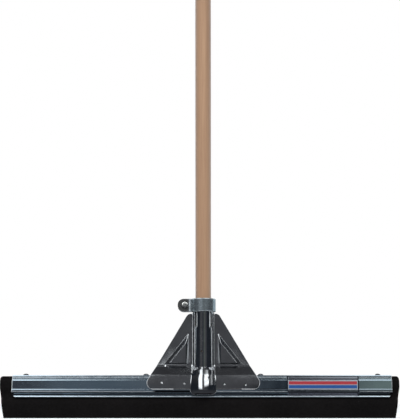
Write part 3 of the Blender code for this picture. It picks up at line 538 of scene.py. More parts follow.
FOOT_RADIUS = 0.0092
SEAM = 0.0004
BLEND_HEIGHT = 0.0024           # from the wing's top edge to where the collar is fully round
SLOT_TOP, SLOT_SHOULDER, SLOT_FOOT = 0.1460, 0.1268, 0.1245
ARC_TURNS = (0, 4, 8, 12, 16, 20, 24, 28, 32, 36, 40, 44.2, 48.25, 52.1, 56, 59.9, 63.75, 66.3, 68.56)
SLOT_COLUMNS = (12, 16)         # of ARC_TURNS, between which the slots lie
FLANK_COLUMNS = 3
FOLD_COLUMNS = 8
COLLAR_ROWS = (SOCKET_TOP, 0.1636, 0.1600, 0.1550, 0.1500, 0.1472, SLOT_TOP, 0.1455, 0.1450, 0.1444)
STRAIGHT_ROWS = (
    0.1438, 0.1428, 0.1400, 0.1360, 0.1320, 0.1285, SLOT_SHOULDER, 0.1225, 0.1180, 0.1120, 0.1060, 0.1000,
    0.0960, 0.0936, 0.0927, 0.0918, 0.0910, 0.0902, 0.0893, 0.0884, 0.0860, 0.0820, 0.0780, 0.0740, STEP_HIGH,
)
STEP_ROWS, BEND_ROWS = 30, (0.0693, 0.0691, 0.0690, 0.0689, 0.0687)
SKIRT_COLUMNS = 76
POCKET_ROWS = 9
POCKET_DROP, POCKET_TAPER, POCKET_FULLNESS = 0.0069, 0.34, 0.8
POCKET_TURN = radians(84)
WING_EDGE_ROWS = (0.1300, 0.1150, 0.1000, 0.0850, 0.0760)
PLATE_RISE = 0.0034
PLATE_SIDE, PLATE_FOOT = TUBE_FOLD + 0.0040, STEP_HIGH + 0.0006
PLATE_MARGINS = (0.0089, 0.0270)            # in from the wing's slanted edge, and down from the wing's top
PLATE_SLOPES = (0.0041, 0.0024, 0.0056)     # upright, lower and long side
PLATE_CORNERS = (0.0006, 0.0002)            # radius of its corners, at the wing and at its flat top
PLATE_BEND = 0.03               # share of the slope that the bend at either end takes
CREASE_WIDTH = 0.00034
WELDS = {-1: ((0.0261, 0.0468), (0.0573, 0.0479)), 1: ((0.0290, 0.0454), (0.0580, 0.0444))}
WELD_RADIUS, WELD_RISE = 0.0018, 0.00034
NAIL_HOLE, NAIL_RADIUS = (-0.0022, 0.0910), 0.0013
WING_GLINT, WING_GLINT_RADIUS = (-0.0527, 0.0714), 0.0011       # a small painted glint on the left wing's step
RUBBED_AND_LIT = {                      # how bright each place is rubbed and painted with highlights, left and right; the foot only from so far out
    -1: {"rim": 0.35, "tip": 0.15, "border": 0.45, "foot": 0.6, "foot from": 0.041, "weld": 0.6},
    1: {"rim": 0.22, "tip": 0.15, "border": 0.20, "foot": 0.6, "foot from": 0.052, "weld": 0.8},
}
PLATE_TIP = 0.1120              # height above which a triangle's tip begins
FOOT_DULL = 0.12                # the rest of the skirt's foot
# Brightness painted on the slots' rims and on the fold beside them, as highlights.
SLOT_RIM, SLOT_FOLD = 0.1, 0.45
SLOT_HIGHLIGHTS = {                    # painted highlights beside the slots: degrees round the tube from and to, and how bright
    -1: ((39, 43, 1.1), (65, 70, 0.9)), 1: ((39, 46, 1.1), (65, 70, 0.9)),
}
FLANK_HIGHLIGHT = 1.3                # how bright the highlight line painted along each side of the tube is
FLANK_HIGHLIGHT_TURNS = (58, 67.5)        # degrees round the tube, from and to
FOLD_HIGHLIGHT = (0.0142, 0.0153)    # how far out the painted highlight on the fold beside the tube lies, from and to
FAINT_HIGHLIGHTS = {                 # fainter painted highlights: heights and places across, both from and to, share of the brightest line
    -1: (
        (STEP_HIGH, SLOT_TOP, *FOLD_HIGHLIGHT, 0.40), (0.0640, STEP_HIGH, 0.0110, 0.0126, 0.25),
        (0.0605, STEP_HIGH, 0.0150, 0.0166, 0.50),
    ),
    1: (
        (STEP_HIGH, SLOT_TOP, *FOLD_HIGHLIGHT, 0.25), (0.0450, STEP_HIGH, 0.0110, 0.0126, 0.45),
        (0.0450, STEP_HIGH, 0.0150, 0.0166, 0.18),
    ),
}


def ease(share):
    share = min(1.0, max(0.0, share))
    return share * share * (3 - 2 * share)


def pressed_out(height, slopes):
    """Depth gained from the top down to a height; the slope changes evenly from one height to the next."""
    gained = 0.0
    for (high, first), (low, last) in zip(slopes, slopes[1:]):
        reach = min(max(high - height, 0.0), high - low)
        gained += reach * (first + (last - first) * reach / (high - low) / 2)
    return gained


def base_depth(height):
    return WING_DEPTH + pressed_out(height, SKIRT_SLOPES)


def socket_form(height):
    """Crown depth, its radius and angle, then centre and radius of the side, fold radius and fold's place."""
    crown = TUBE_RADIUS + pressed_out(height, CROWN_SLOPES)
    radius = 1 / along([row[:2] for row in CROWN_BULGE], height)
    bulge = asin(along([(row[0], row[2]) for row in CROWN_BULGE], height) / radius)
    side, fold_radius = along(SIDE_RADIUS, height), along(FOLD_RADIUS, height)
    centre = ((radius - side) * sin(bulge), crown - radius + (radius - side) * cos(bulge))
    both = side + fold_radius
    left = base_depth(height) + fold_radius - centre[1]
    fold = TUBE_FOLD + (POCKET_FOLD - TUBE_FOLD) * ease((0.0660 - height) / 0.0230)
    fold = max(fold, centre[0] + sqrt(max(0.0, both ** 2 - left ** 2)) * 1.002)
    return crown, radius, bulge, centre, side, fold_radius, fold


def socket_half(height):
    """Half section from crown to wing at a height, (side, depth) points: crown, side, straight flank, fold."""
    crown, radius, bulge, centre, side, fold_radius, fold = socket_form(height)
    base = base_depth(height)
    across, left, both = fold - centre[0], base + fold_radius - centre[1], side + fold_radius
    flank = sqrt(max(0.0, across ** 2 + left ** 2 - both ** 2))
    spread = atan2(across, left) - atan2(flank, both)
    points = []
    for turn in ARC_TURNS:
        angle = spread * turn / ARC_TURNS[-1]
        if angle < bulge:
            points.append((radius * sin(angle), crown - radius + radius * cos(angle)))
        else:
            points.append((centre[0] + side * sin(angle), centre[1] + side * cos(angle)))
    x, y = points[-1]
    points += [
        (x + flank * cos(spread) * step / FLANK_COLUMNS, y - flank * sin(spread) * step / FLANK_COLUMNS)
        for step in range(1, FLANK_COLUMNS + 1)
    ]
    for step in range(1, FOLD_COLUMNS + 1):
        angle = spread * (1 - step / FOLD_COLUMNS)
        points.append((fold - fold_radius * sin(angle), base + fold_radius - fold_radius * cos(angle)))
    return points


def collar_half():
    """Quarter circle with the same count of points, for the collar above the wings."""
    spread = atan2(TUBE_FOLD, WING_DEPTH + FOLD_RADIUS[-1][1])
    last = acos(SEAM / TUBE_RADIUS)
    angles = [spread * turn / ARC_TURNS[-1] for turn in ARC_TURNS]
    steps = FLANK_COLUMNS + FOLD_COLUMNS
    angles += [spread + (last - spread) * step / steps for step in range(1, steps + 1)]
    return [(TUBE_RADIUS * sin(angle), TUBE_RADIUS * cos(angle)) for angle in angles]


def wing_edge(height):
    """Half width of the shell at a height: rounded top corner, slanted edge, rounded foot corner."""
    tangent = WING_TOP_RADIUS * tan((pi / 2 - WING_LEAN) / 2)
    drop = WING_TOP - height
    if drop < WING_TOP_RADIUS * (1 - sin(WING_LEAN)):
        return WING_TOP_SIDE - tangent + sqrt(max(0.0, WING_TOP_RADIUS ** 2 - (WING_TOP_RADIUS - drop) ** 2))
    slanted = WING_TOP_SIDE + tan(WING_LEAN) * drop
    foot_height = SKIRT_FOOT + FOOT_RADIUS
    if height >= foot_height + FOOT_RADIUS * sin(WING_LEAN):
        return slanted
    foot_side = WING_TOP_SIDE + tan(WING_LEAN) * (WING_TOP - foot_height) - FOOT_RADIUS / cos(WING_LEAN)
    return foot_side + sqrt(max(0.0, FOOT_RADIUS ** 2 - (height - foot_height) ** 2))


def skirt_rows():
    """Heights from the start of the step down to the skirt's edge, closer together at the rounded foot."""
    arc = SKIRT_FOOT + FOOT_RADIUS * (1 + sin(WING_LEAN))
    rows = [STEP_HIGH - (STEP_HIGH - arc) * step / STEP_ROWS for step in range(STEP_ROWS + 1)]
    rows = sorted(rows + list(BEND_ROWS), reverse=True)
    for step in range(1, 19):
        turn = WING_LEAN - (WING_LEAN + pi / 2) * step / 18
        rows.append(SKIRT_FOOT + FOOT_RADIUS * (1 + sin(turn)))
    return rows


def add_socket(shape):
    """Collar, tube, step and pocket."""
    collar = collar_half()
    heights = list(COLLAR_ROWS) + list(STRAIGHT_ROWS) + skirt_rows()[1:]
    rows = []
    for height in heights:
        section = socket_half(min(height, WING_TOP))
        share = ease((height - WING_TOP) / BLEND_HEIGHT)
        rows.append([
            (x + (u - x) * share, y + (v - y) * share, height) for (x, y), (u, v) in zip(section, collar)
        ])
    lowest = socket_half(SKIRT_FOOT)
    for step in range(1, POCKET_ROWS + 1):
        turn = POCKET_TURN * step / POCKET_ROWS
        width = 1 - POCKET_TAPER * (1 - cos(turn))
        swell = cos(turn) ** POCKET_FULLNESS
        height = SKIRT_FOOT - POCKET_DROP * sin(turn) / sin(POCKET_TURN)
        rows.append([(x * width, lowest[-1][1] + (y - lowest[-1][1]) * swell, height) for x, y in lowest])
    count = len(lowest) - 1

    def place(column, row):
        x, y, height = rows[row][abs(column - count)]
        return Vector((x if column > count else -x, -y, height))

    shaped_grid(shape, 2 * count, len(rows) - 1, place)


def add_skirt(shape, side):
    rows = skirt_rows()

    def place(column, row):
        height = rows[row]
        inner, outer = socket_form(height)[-1], wing_edge(height)
        share = column / SKIRT_COLUMNS
        x, y = inner + (outer - inner) * share, base_depth(height)
        for weld in WELDS[side]:
            gap = hypot(x - weld[0], height - weld[1])
            if gap < WELD_RADIUS:
                y -= WELD_RISE * (0.5 + 0.5 * cos(pi * gap / WELD_RADIUS))
        return Vector((side * x, -y, height))

    shaped_grid(shape, SKIRT_COLUMNS, len(rows) - 1, place)


def plate_outline(share):
    """Outline of the raised triangle at a share of its slope, from the wing (0) to its flat top (1)."""
    upright, lower, long_side = (slope * share for slope in PLATE_SLOPES)
    width = wing_edge(PLATE_FOOT) - PLATE_MARGINS[0] - PLATE_SIDE
    height = WING_TOP - PLATE_MARGINS[1] - PLATE_FOOT
    left = 1 - long_side * hypot(width, height) / (width * height)
    top_width = width * (left - lower / height) - upright
    top_height = height * (left - upright / width) - lower
    side, foot = PLATE_SIDE + upright, PLATE_FOOT + lower
    corners = [(side, foot), (side + top_width, foot), (side, foot + top_height)]
    radius = PLATE_CORNERS[0] + (PLATE_CORNERS[1] - PLATE_CORNERS[0]) * share
    outline = []
    for index in range(3):
        outline += corner_arc(corners[index - 1], corners[index], corners[(index + 1) % 3], radius)
    return outline


def add_wing(shape, side):
    """Flat wing with its raised triangle, whose slope has a small bend at both ends; gives the flat's faces."""
    shares = [-0.02, 0.0, 0.01, 0.02, PLATE_BEND, 0.3, 0.7, 1 - PLATE_BEND, 0.98, 0.99, 1.0, 1.02]
    rings = [plate_outline(share) for share in shares]
    count = len(rings[0])

    def place(column, row):
        point, share = rings[row][column % count], min(1.0, max(0.0, shares[row]))
        near = min(share, 1 - share)
        rise = near ** 2 / 2 / PLATE_BEND if near < PLATE_BEND else near - PLATE_BEND / 2
        rise = rise / (1 - PLATE_BEND) if share < 0.5 else 1 - rise / (1 - PLATE_BEND)
        return Vector((side * point.x, -(WING_DEPTH + PLATE_RISE * rise), point.y))

    made = shaped_grid(shape, count, len(shares) - 1, place)
    bmesh.ops.remove_doubles(shape, verts=made, dist=1e-7)
    rim = [edge for edge in shape.edges if edge.is_boundary and abs(edge.verts[0].co.x) > PLATE_SIDE
           and edge.verts[0].co.x * side > 0 and edge.verts[0].co.z > STEP_HIGH + 0.0005]
    top = [edge for edge in rim if edge.verts[0].co.y < -WING_DEPTH - PLATE_RISE * 0.99]
    low = [edge for edge in rim if edge.verts[0].co.y > -WING_DEPTH - PLATE_RISE * 0.01]
    bmesh.ops.contextual_create(shape, geom=top)
    points = [(TUBE_FOLD, height) for height in reversed(STRAIGHT_ROWS)]
    flat_side = wing_edge(WING_TOP)
    points.append((flat_side, WING_TOP))
    for step in range(1, 9):
        turn = (pi / 2 - WING_LEAN) * step / 8
        points.append((flat_side + WING_TOP_RADIUS * sin(turn), WING_TOP - WING_TOP_RADIUS * (1 - cos(turn))))
    points += [(wing_edge(height), height) for height in WING_EDGE_ROWS]
    outer = wing_edge(STEP_HIGH)
    points += [
        (outer + (TUBE_FOLD - outer) * step / SKIRT_COLUMNS, STEP_HIGH) for step in range(SKIRT_COLUMNS)
    ]
    ring = [shape.verts.new((side * x, -WING_DEPTH, height)) for x, height in points]
    border = [shape.edges.new((ring[index - 1], ring[index])) for index in range(len(ring))]
    filled = bmesh.ops.triangle_fill(shape, use_beauty=True, edges=border + low, normal=(0, -1, 0))["geom"]
    return [item for item in filled if isinstance(item, bmesh.types.BMFace)]


def punch(shape, centre, radius):
    """Take the faces out round a place on the crown and draw the rim to a circle."""
    crown = -TUBE_RADIUS * 0.8
    gone = []
    for face in shape.faces:
        middle = face.calc_center_median()
        if hypot(middle.x - centre[0], middle.z - centre[1]) < radius and middle.y < crown:
            gone.append(face)
    bmesh.ops.delete(shape, geom=gone, context="FACES")
    for vert in shape.verts:
        gap = Vector((vert.co.x - centre[0], 0, vert.co.z - centre[1]))
        if vert.is_boundary and gap.length < radius * 1.9 and vert.co.y < crown:
            vert.co.x = centre[0] + gap.x * radius / gap.length
            vert.co.z = centre[1] + gap.z * radius / gap.length
            vert.co.y = -sqrt(TUBE_RADIUS ** 2 - vert.co.x ** 2)


def cut_slots(shape):
    """Two slots below the clamp band, drawn to a point at the foot."""
    spread = radians(ARC_TURNS[-1])
    first, last = (radians(ARC_TURNS[index]) for index in SLOT_COLUMNS)
    gone = []
    for face in shape.faces:
        middle = face.calc_center_median()
        angle = atan2(abs(middle.x), -middle.y)
        if SLOT_SHOULDER < middle.z < SLOT_TOP and first < angle < last < spread:
            gone.append(face)
    bmesh.ops.delete(shape, geom=gone, context="FACES")
    middle_turn = (first + last) / 2
    for vert in shape.verts:
        angle = atan2(abs(vert.co.x), -vert.co.y)
        if abs(vert.co.z - SLOT_SHOULDER) < 1e-6 and vert.is_boundary and first - 0.01 < angle < last + 0.01:
            share = 1 - abs(angle - middle_turn) / (middle_turn - first)
            vert.co.z -= (SLOT_SHOULDER - SLOT_FOOT) * share


def wear_and_highlight_share(vert):
    """How bright a place is marked, for rubbed wear and for painted highlights: cut edges, triangle rims, slot
    rims, highlight lines along the tube, a glint, foot and welds.
    """
    side, across, height = (1 if vert.co.x > 0 else -1), abs(vert.co.x), vert.co.z
    rise = (-vert.co.y - WING_DEPTH) / PLATE_RISE
    turned = degrees(atan2(across, -vert.co.y))
    bright = RUBBED_AND_LIT[side]
    # Triangle rims, tips and borders, the skirt's foot and the welds: partly rubbed wear, partly painted
    # highlights, set apart for left and right.
    if across > PLATE_SIDE and height > STEP_HIGH:
        if 0.97 < rise < 0.9999 and across > PLATE_SIDE + PLATE_SLOPES[0] + 0.0006:
            return bright["rim"]
        if 0.0001 < rise < 0.03 and height > PLATE_TIP:
            return bright["tip"]
        if rise < 0.03 and abs(height - PLATE_FOOT) < 0.0003 and across > PLATE_SIDE + 0.0020:
            return bright["border"]
    if across > POCKET_FOLD and height < SKIRT_FOOT + 0.0010:
        return bright["foot"] if across > bright["foot from"] else FOOT_DULL
    # Slot rims, the fold beside them and bands beside the slots get painted highlights.
    if across < TUBE_FOLD and SLOT_FOOT < height < SLOT_TOP + 0.0002:
        if vert.is_boundary:
            return SLOT_RIM
        for start, end, share in SLOT_HIGHLIGHTS[side]:
            if start < turned < end:
                return share
        return SLOT_FOLD if FOLD_HIGHLIGHT[0] < across < FOLD_HIGHLIGHT[1] else 0.0
    # Painted glint: one small spot on the left wing's step is marked fully bright.
    if hypot(vert.co.x - WING_GLINT[0], height - WING_GLINT[1]) < WING_GLINT_RADIUS:
        return 1.0
    # Painted highlights: lines along the tube's sides and its folds are marked bright as reflections.
    if STEP_HIGH < height < SLOT_FOOT and FLANK_HIGHLIGHT_TURNS[0] < turned < FLANK_HIGHLIGHT_TURNS[1]:
        return FLANK_HIGHLIGHT
    for low, high, inner, outer, share in FAINT_HIGHLIGHTS[side]:
        if low < height < high and inner < across < outer:
            return FLANK_HIGHLIGHT * share
    if hypot(vert.co.x - NAIL_HOLE[0], height - NAIL_HOLE[1]) < NAIL_RADIUS * 1.2:
        return 0.0
    for weld in WELDS[side]:
        if hypot(across - weld[0], height - weld[1]) < WELD_RADIUS * 0.6:
            return bright["weld"]
    return 1.0 if vert.is_boundary else 0.0


def shell_surface(with_hole):
    """Outer face of one shell, facing front, with its worn places and its painted highlights marked."""
    shape = bmesh.new()
    brightened = shape.verts.layers.float.new("edge")
    flats = []
    for side in (-1, 1):
        flats += add_wing(shape, side)
    for side in (-1, 1):
        add_skirt(shape, side)
    add_socket(shape)
    bmesh.ops.remove_doubles(shape, verts=shape.verts, dist=1e-5)
    face_outward(shape, Vector((0, -1, 0)))
    flats = [face for face in flats if face.is_valid]
    bmesh.ops.inset_region(
        shape, faces=flats, thickness=CREASE_WIDTH, use_even_offset=True, use_boundary=True,
    )
    cut_slots(shape)
    if with_hole:
        punch(shape, NAIL_HOLE, NAIL_RADIUS)
    for vert in shape.verts:
        vert[brightened] = wear_and_highlight_share(vert)
    return shape


def pressed_steel():
    """Dark zinc-plated sheet: glossy and grainy, rubbed bright on edges, creases and welds, with highlights
    painted along creases, slot rims and the tube's sides.
    """
    finish, tree, shader, coords = new_finish("pressed_steel")
    grain = noise(tree, coords, 900.0, 3.0)
    smudge = noise(tree, coords, 60.0, 5.0, 0.62)
    drawn = noise(tree, coords, (900.0, 900.0, 18.0), 3.0)
    tone = mix(tree, remap(tree, smudge, 0.32, 0.70), (0.36, 0.365, 0.375), (0.45, 0.46, 0.475))
    speckled = mix(tree, remap(tree, grain, 0.52, 0.75, 0.0, 0.25), tone, (0.58, 0.60, 0.62))
    # The marks give both rubbed wear and painted highlights.
    worn_and_lit = edge_wear_and_highlight(tree, edge_mark(tree), grain, 0.30, 0.55, 0.55, 1.0)
    rough = remap(tree, smudge, 0.30, 0.72, 0.07, 0.13)
    feed(tree, shader, {
        "Base Color": mix(tree, worn_and_lit, speckled, (0.90, 0.93, 0.96)),
        "Metallic": remap(tree, worn_and_lit, 0.0, 1.0, 1.0, 0.35),
        "Roughness": combine(tree, "MULTIPLY_ADD", worn_and_lit, 0.25, rough),
        "Normal": bump(tree, grain, 0.04, 0.0001, bump(tree, drawn, 0.03, 0.0001)),
    })
    return finish


PRESSED = pressed_steel()

for name, turn, with_hole in (("socket_shell_front", 0.0, True), ("socket_shell_rear", pi, False)):
    shell_shape = shell_surface(with_hole)
    bmesh.ops.rotate(shell_shape, verts=shell_shape.verts, cent=(0, 0, 0), matrix=Matrix.Rotation(turn, 3, "Z"))
    shell = add_piece(name.replace("socket_shell", "pressed_shell"), shell_shape, PRESSED, angle=50)
    thicken(shell, SHELL_WALL)
    round_edges(shell, width=0.0004, segments=2, angle=60)
    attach(shell, "head")
    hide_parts(name)


# Label film
# A strip of clear film with plain printed bands, stuck to the front of the channel from shoulder to hem.

LABEL_LEFT, LABEL_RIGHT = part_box("label_film")[0].x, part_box("label_film")[1].x
LABEL_LIFT, LABEL_WALL = 0.0003, 0.0002
LABEL_LOW, LABEL_HIGH = 0.0296, 0.0572
LABEL_PRINT = (0.0392, 0.0506)              # heights from and to of the printed bands
LABEL_MARGINS = (0.0012, 0.0016)            # at the left and the right end of the print
LABEL_LINES = (0.0009, 0.0010, 0.0004)      # white lines: along the bands, across their ends, half the middle
LABEL_COLUMNS = 40


def label_surface():
    shape = bmesh.new()
    line = [point for point in channel_profile() if LABEL_LOW <= point[1] <= LABEL_HIGH]
    moved = []
    for index, (depth, height) in enumerate(line):
        before, after = line[max(index - 1, 0)], line[min(index + 1, len(line) - 1)]
        away = Vector((before[1] - after[1], after[0] - before[0])).normalized() * LABEL_LIFT
        moved.append((depth + away.x, height + away.y))

    def place(column, row):
        return Vector((
            LABEL_LEFT + (LABEL_RIGHT - LABEL_LEFT) * column / LABEL_COLUMNS, -moved[row][0], moved[row][1],
        ))

    shaped_grid(shape, LABEL_COLUMNS, len(moved) - 1, place)
    face_outward(shape, Vector((0, -1, 0)))
    return shape


def printed_film():
    """Clear film over dark metal, with a red and a blue band between thin white lines."""
    finish, tree, shader, coords = new_finish("printed_film")
    place = add_node(tree, "ShaderNodeSeparateXYZ", {"Vector": coords}).outputs
    low, high = LABEL_PRINT
    left, right = LABEL_LEFT + LABEL_MARGINS[0], LABEL_RIGHT - LABEL_MARGINS[1]
    middle = (low + high) / 2
    edge_line, end_line, half_line = LABEL_LINES

    def between(axis, start, end):
        above = combine(tree, "GREATER_THAN", place[axis], start)
        return times(tree, above, combine(tree, "LESS_THAN", place[axis], end))

    inside = times(tree, between("Z", low, high), between("X", left, right))
    fields = times(
        tree, between("Z", low + edge_line, high - edge_line), between("X", left + end_line, right - end_line),
    )
    fibre = noise(tree, coords, 700.0, 4.0)
    red = mix(tree, fibre, (0.25, 0.022, 0.034), (0.35, 0.048, 0.056))
    blue = mix(tree, fibre, (0.013, 0.050, 0.185), (0.030, 0.085, 0.260))
    bands = mix(tree, combine(tree, "GREATER_THAN", place["Z"], middle), blue, red)
    bands = mix(tree, between("Z", middle - half_line, middle + half_line), bands, (0.26, 0.29, 0.32))
    print_colour = mix(tree, fields, (0.24, 0.27, 0.30), bands)
    film = mix(tree, remap(tree, fibre, 0.3, 0.7), (0.26, 0.28, 0.33), (0.36, 0.38, 0.43))
    film = mix(tree, remap(tree, place["Z"], 0.0526, 0.0530, 0.0, 0.85), film, (0.055, 0.060, 0.070))
    wrinkle = noise(tree, coords, (60.0, 160.0, 160.0), 2.0)
    feed(tree, shader, {
        "Base Color": mix(tree, inside, film, print_colour),
        "Metallic": combine(tree, "SUBTRACT", 1.0, inside),
        "Roughness": remap(tree, fibre, 0.3, 0.7, 0.10, 0.22),
        "Coat Weight": 0.4,
        "Normal": bump(tree, wrinkle, 0.08, 0.001),
    })
    return finish


label = add_piece("label_print", label_surface(), printed_film(), angle=60)
thicken(label, LABEL_WALL, offset=1)
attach(label, "head")
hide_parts("label_film")


# Handle
# A turned round wooden handle, a little thinner where it goes into the socket, sanded and left plain. Its foot
# is painted near-black brown as shade, where it sits inside the steel.

HANDLE_LOW, HANDLE_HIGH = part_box("handle")[0].z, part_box("handle")[1].z
HANDLE_RADIUS, HANDLE_FOOT_RADIUS = 0.01175, 0.0110
HANDLE_FOOT_TOP, HANDLE_TAPER = 0.1683, 0.400
HANDLE_DOME, HANDLE_CHAMFER = 0.0070, 0.0015
HANDLE_STEPS, HANDLE_SIDES = 23, 72
HANDLE_FOOT_SHADE = (0.1560, 0.1620)             # heights over which the foot's painted shade fades out


def handle_profile():
    top = dome(HANDLE_RADIUS, HANDLE_HIGH - HANDLE_DOME, HANDLE_DOME, 12)
    body = []
    for step in range(1, HANDLE_STEPS + 1):
        height = top[-1][1] + (HANDLE_FOOT_TOP - top[-1][1]) * step / HANDLE_STEPS
        share = min(1.0, (height - HANDLE_FOOT_TOP) / HANDLE_TAPER)
        body.append((HANDLE_FOOT_RADIUS + (HANDLE_RADIUS - HANDLE_FOOT_RADIUS) * share, height))
    foot = [
        (HANDLE_FOOT_RADIUS, HANDLE_LOW + HANDLE_CHAMFER), (HANDLE_FOOT_RADIUS - HANDLE_CHAMFER, HANDLE_LOW),
        (0.0, HANDLE_LOW),
    ]
    return top + body + foot


def handle_wood():
    """Pale brown wood with fine lengthwise grain, short dark pores and broad growth bands, its foot painted
    dark as shade.
    """
    finish, tree, shader, coords = new_finish("handle_wood")
    fine = noise(tree, coords, (1500.0, 1500.0, 16.0), 4.0, 0.6)
    broad = noise(tree, coords, (150.0, 150.0, 3.0), 3.0)
    pores = noise(tree, coords, (2600.0, 2600.0, 60.0), 2.0)
    pale = mix(tree, remap(tree, broad, 0.30, 0.70), (0.272, 0.158, 0.092), (0.354, 0.217, 0.130))
    grained = mix(tree, remap(tree, fine, 0.40, 0.72, 0.0, 0.55), pale, (0.224, 0.120, 0.067))
    pored = mix(tree, remap(tree, pores, 0.62, 0.78, 0.0, 0.5), grained, (0.156, 0.079, 0.044))
    height = add_node(tree, "ShaderNodeSeparateXYZ", {"Vector": coords}).outputs["Z"]
    feed(tree, shader, {
        # Painted shade: the foot's colour fades to near-black brown, standing for the shade inside the socket.
        "Base Color": mix(tree, remap(tree, height, *HANDLE_FOOT_SHADE, 0.86, 0.0), pored, (0.040, 0.033, 0.028)),
        "Roughness": remap(tree, fine, 0.3, 0.7, 0.48, 0.66),
        "Specular IOR Level": 0.35,
        "Sheen Weight": 0.8,
        "Sheen Roughness": 0.45,
        "Sheen Tint": (0.95, 0.92, 0.95, 1.0),
        "Normal": bump(tree, fine, 0.25, 0.0004),
    })
    return finish


handle = add_piece("handle_pole", spun(handle_profile(), HANDLE_SIDES), handle_wood())
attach(handle, "handle")
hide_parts("handle")


# Clamp band
# A heavy galvanised strip bent round the collar, its two ends turned out as ears that the screw draws together.

BAND_WALL = 0.0040
BAND_MIDDLE = 0.0156
BAND_LOW, BAND_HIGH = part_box("clamp_band")[0].z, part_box("clamp_band")[1].z
BAND_CENTRE, BAND_HALF = (BAND_LOW + BAND_HIGH) / 2, (BAND_HIGH - BAND_LOW) / 2
BAND_LEVELS = (-1.0, -0.93, -0.8, -0.4, 0.0, 0.4, 0.8, 0.93, 1.0)
EAR_LINE = 0.0040               # depth of each ear's middle
EAR_BEND = 0.0035
EAR_REACH = 0.0359
EAR_RADIUS = 0.0084
EAR_STEPS, BEND_STEPS, RING_STEPS = 15, 8, 96
BEND_LINE = (-0.0205, -0.0198, -0.0186, -0.0179)    # along X, where a highlight is painted on each ear's bend


def band_path():
    """Middle line in plan from the tip of the front ear round to the tip of the rear one."""
    bend = BAND_MIDDLE + EAR_BEND
    side = sqrt(bend ** 2 - (EAR_LINE + EAR_BEND) ** 2)
    lean = atan2(EAR_LINE + EAR_BEND, side)
    front = []
    for step in range(EAR_STEPS + 1):
        front.append((-EAR_REACH + EAR_RADIUS * (1 - cos(pi / 2 * step / EAR_STEPS)), -EAR_LINE))
    front += [(x, -EAR_LINE) for x in BEND_LINE]
    for step in range(BEND_STEPS + 1):
        turn = pi / 2 - (pi / 2 - lean) * step / BEND_STEPS
        front.append((-side + EAR_BEND * cos(turn), -EAR_LINE - EAR_BEND + EAR_BEND * sin(turn)))
    ring = []
    for step in range(1, RING_STEPS):
        turn = pi + lean + 2 * (pi - lean) * step / RING_STEPS
        ring.append((BAND_MIDDLE * cos(turn), BAND_MIDDLE * sin(turn)))
    return front + ring + [(x, -y) for x, y in reversed(front)]


def band_surface():
    """Middle surface of the strip, its ends rounded, with its rims marked as worn and its top rim and ears'
    bends marked for painted highlights.
    """
    shape = bmesh.new()
    brightened = shape.verts.layers.float.new("edge")
    path = band_path()

    def place(column, row):
        x, y = path[column]
        inset = max(0.0, EAR_RADIUS - (x + EAR_REACH))
        reach = BAND_HALF - EAR_RADIUS + sqrt(max(0.0, EAR_RADIUS ** 2 - inset ** 2))
        return Vector((x, y, BAND_CENTRE - BAND_LEVELS[row] * reach))

    shaped_grid(shape, len(path) - 1, len(BAND_LEVELS) - 1, place)
    bmesh.ops.remove_doubles(shape, verts=shape.verts, dist=1e-6)
    bmesh.ops.recalc_face_normals(shape, faces=shape.faces)
    for vert in shape.verts:
        # The ears' bends and a band along the top rim get painted highlights.
        on_bend = BEND_LINE[0] < vert.co.x < BEND_LINE[-1]
        on_rim = vert.co.x > BEND_LINE[-1] and vert.co.z > BAND_CENTRE + BAND_HALF * 0.9
        vert[brightened] = 1.0 if vert.is_boundary or on_bend or on_rim else 0.0
    return shape


def galvanised_strip():
    """Hot-dip zinc: crystals of a few millimetres in uneven blue-greys, dull, rubbed on its edges, with painted
    highlights on its top rim and ears' bends.
    """
    finish, tree, shader, coords = new_finish("galvanised_band")
    crystals = add_node(tree, "ShaderNodeTexVoronoi", {"Vector": coords, "Scale": 330.0, "Randomness": 1.0})
    cloud = noise(tree, coords, 150.0, 5.0, 0.65)
    grain = noise(tree, coords, 1400.0, 2.0)
    shade = add_node(tree, "ShaderNodeSeparateColor", {"Color": crystals.outputs["Color"]}).outputs[0]
    tone = mix(tree, remap(tree, shade, 0.1, 0.9), (0.24, 0.28, 0.31), (0.30, 0.35, 0.38))
    clouded = mix(tree, remap(tree, cloud, 0.42, 0.68, 0.0, 0.5), tone, (0.20, 0.23, 0.25))
    side = add_node(tree, "ShaderNodeSeparateXYZ", {"Vector": coords}).outputs["X"]
    stained = mix(tree, remap(tree, side, -0.0215, -0.0190, 0.85, 0.0), clouded, (0.115, 0.108, 0.100))
    worn_and_lit = edge_wear_and_highlight(tree, edge_mark(tree), cloud, 0.35, 0.6, 0.2, 0.9)
    feed(tree, shader, {
        "Base Color": mix(tree, worn_and_lit, stained, (0.74, 0.80, 0.84)),
        "Metallic": remap(tree, worn_and_lit, 0.0, 1.0, 0.80, 0.35),
        "Roughness": remap(tree, cloud, 0.3, 0.7, 0.17, 0.24),
        "Normal": bump(tree, grain, 0.05, 0.0002, bump(tree, cloud, 0.08, 0.0004)),
    })
    return finish


band = add_piece("clamp_band_strip", band_surface(), galvanised_strip(), angle=45)
thicken(band, BAND_WALL, offset=0)
round_edges(band, width=0.0007, segments=3, angle=60)
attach(band, "band")
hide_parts("clamp_band")


# Clamp screw and nut
# An M5 pan-head steel screw goes through both ears from the rear, and a hexagon nut takes it up at the front.

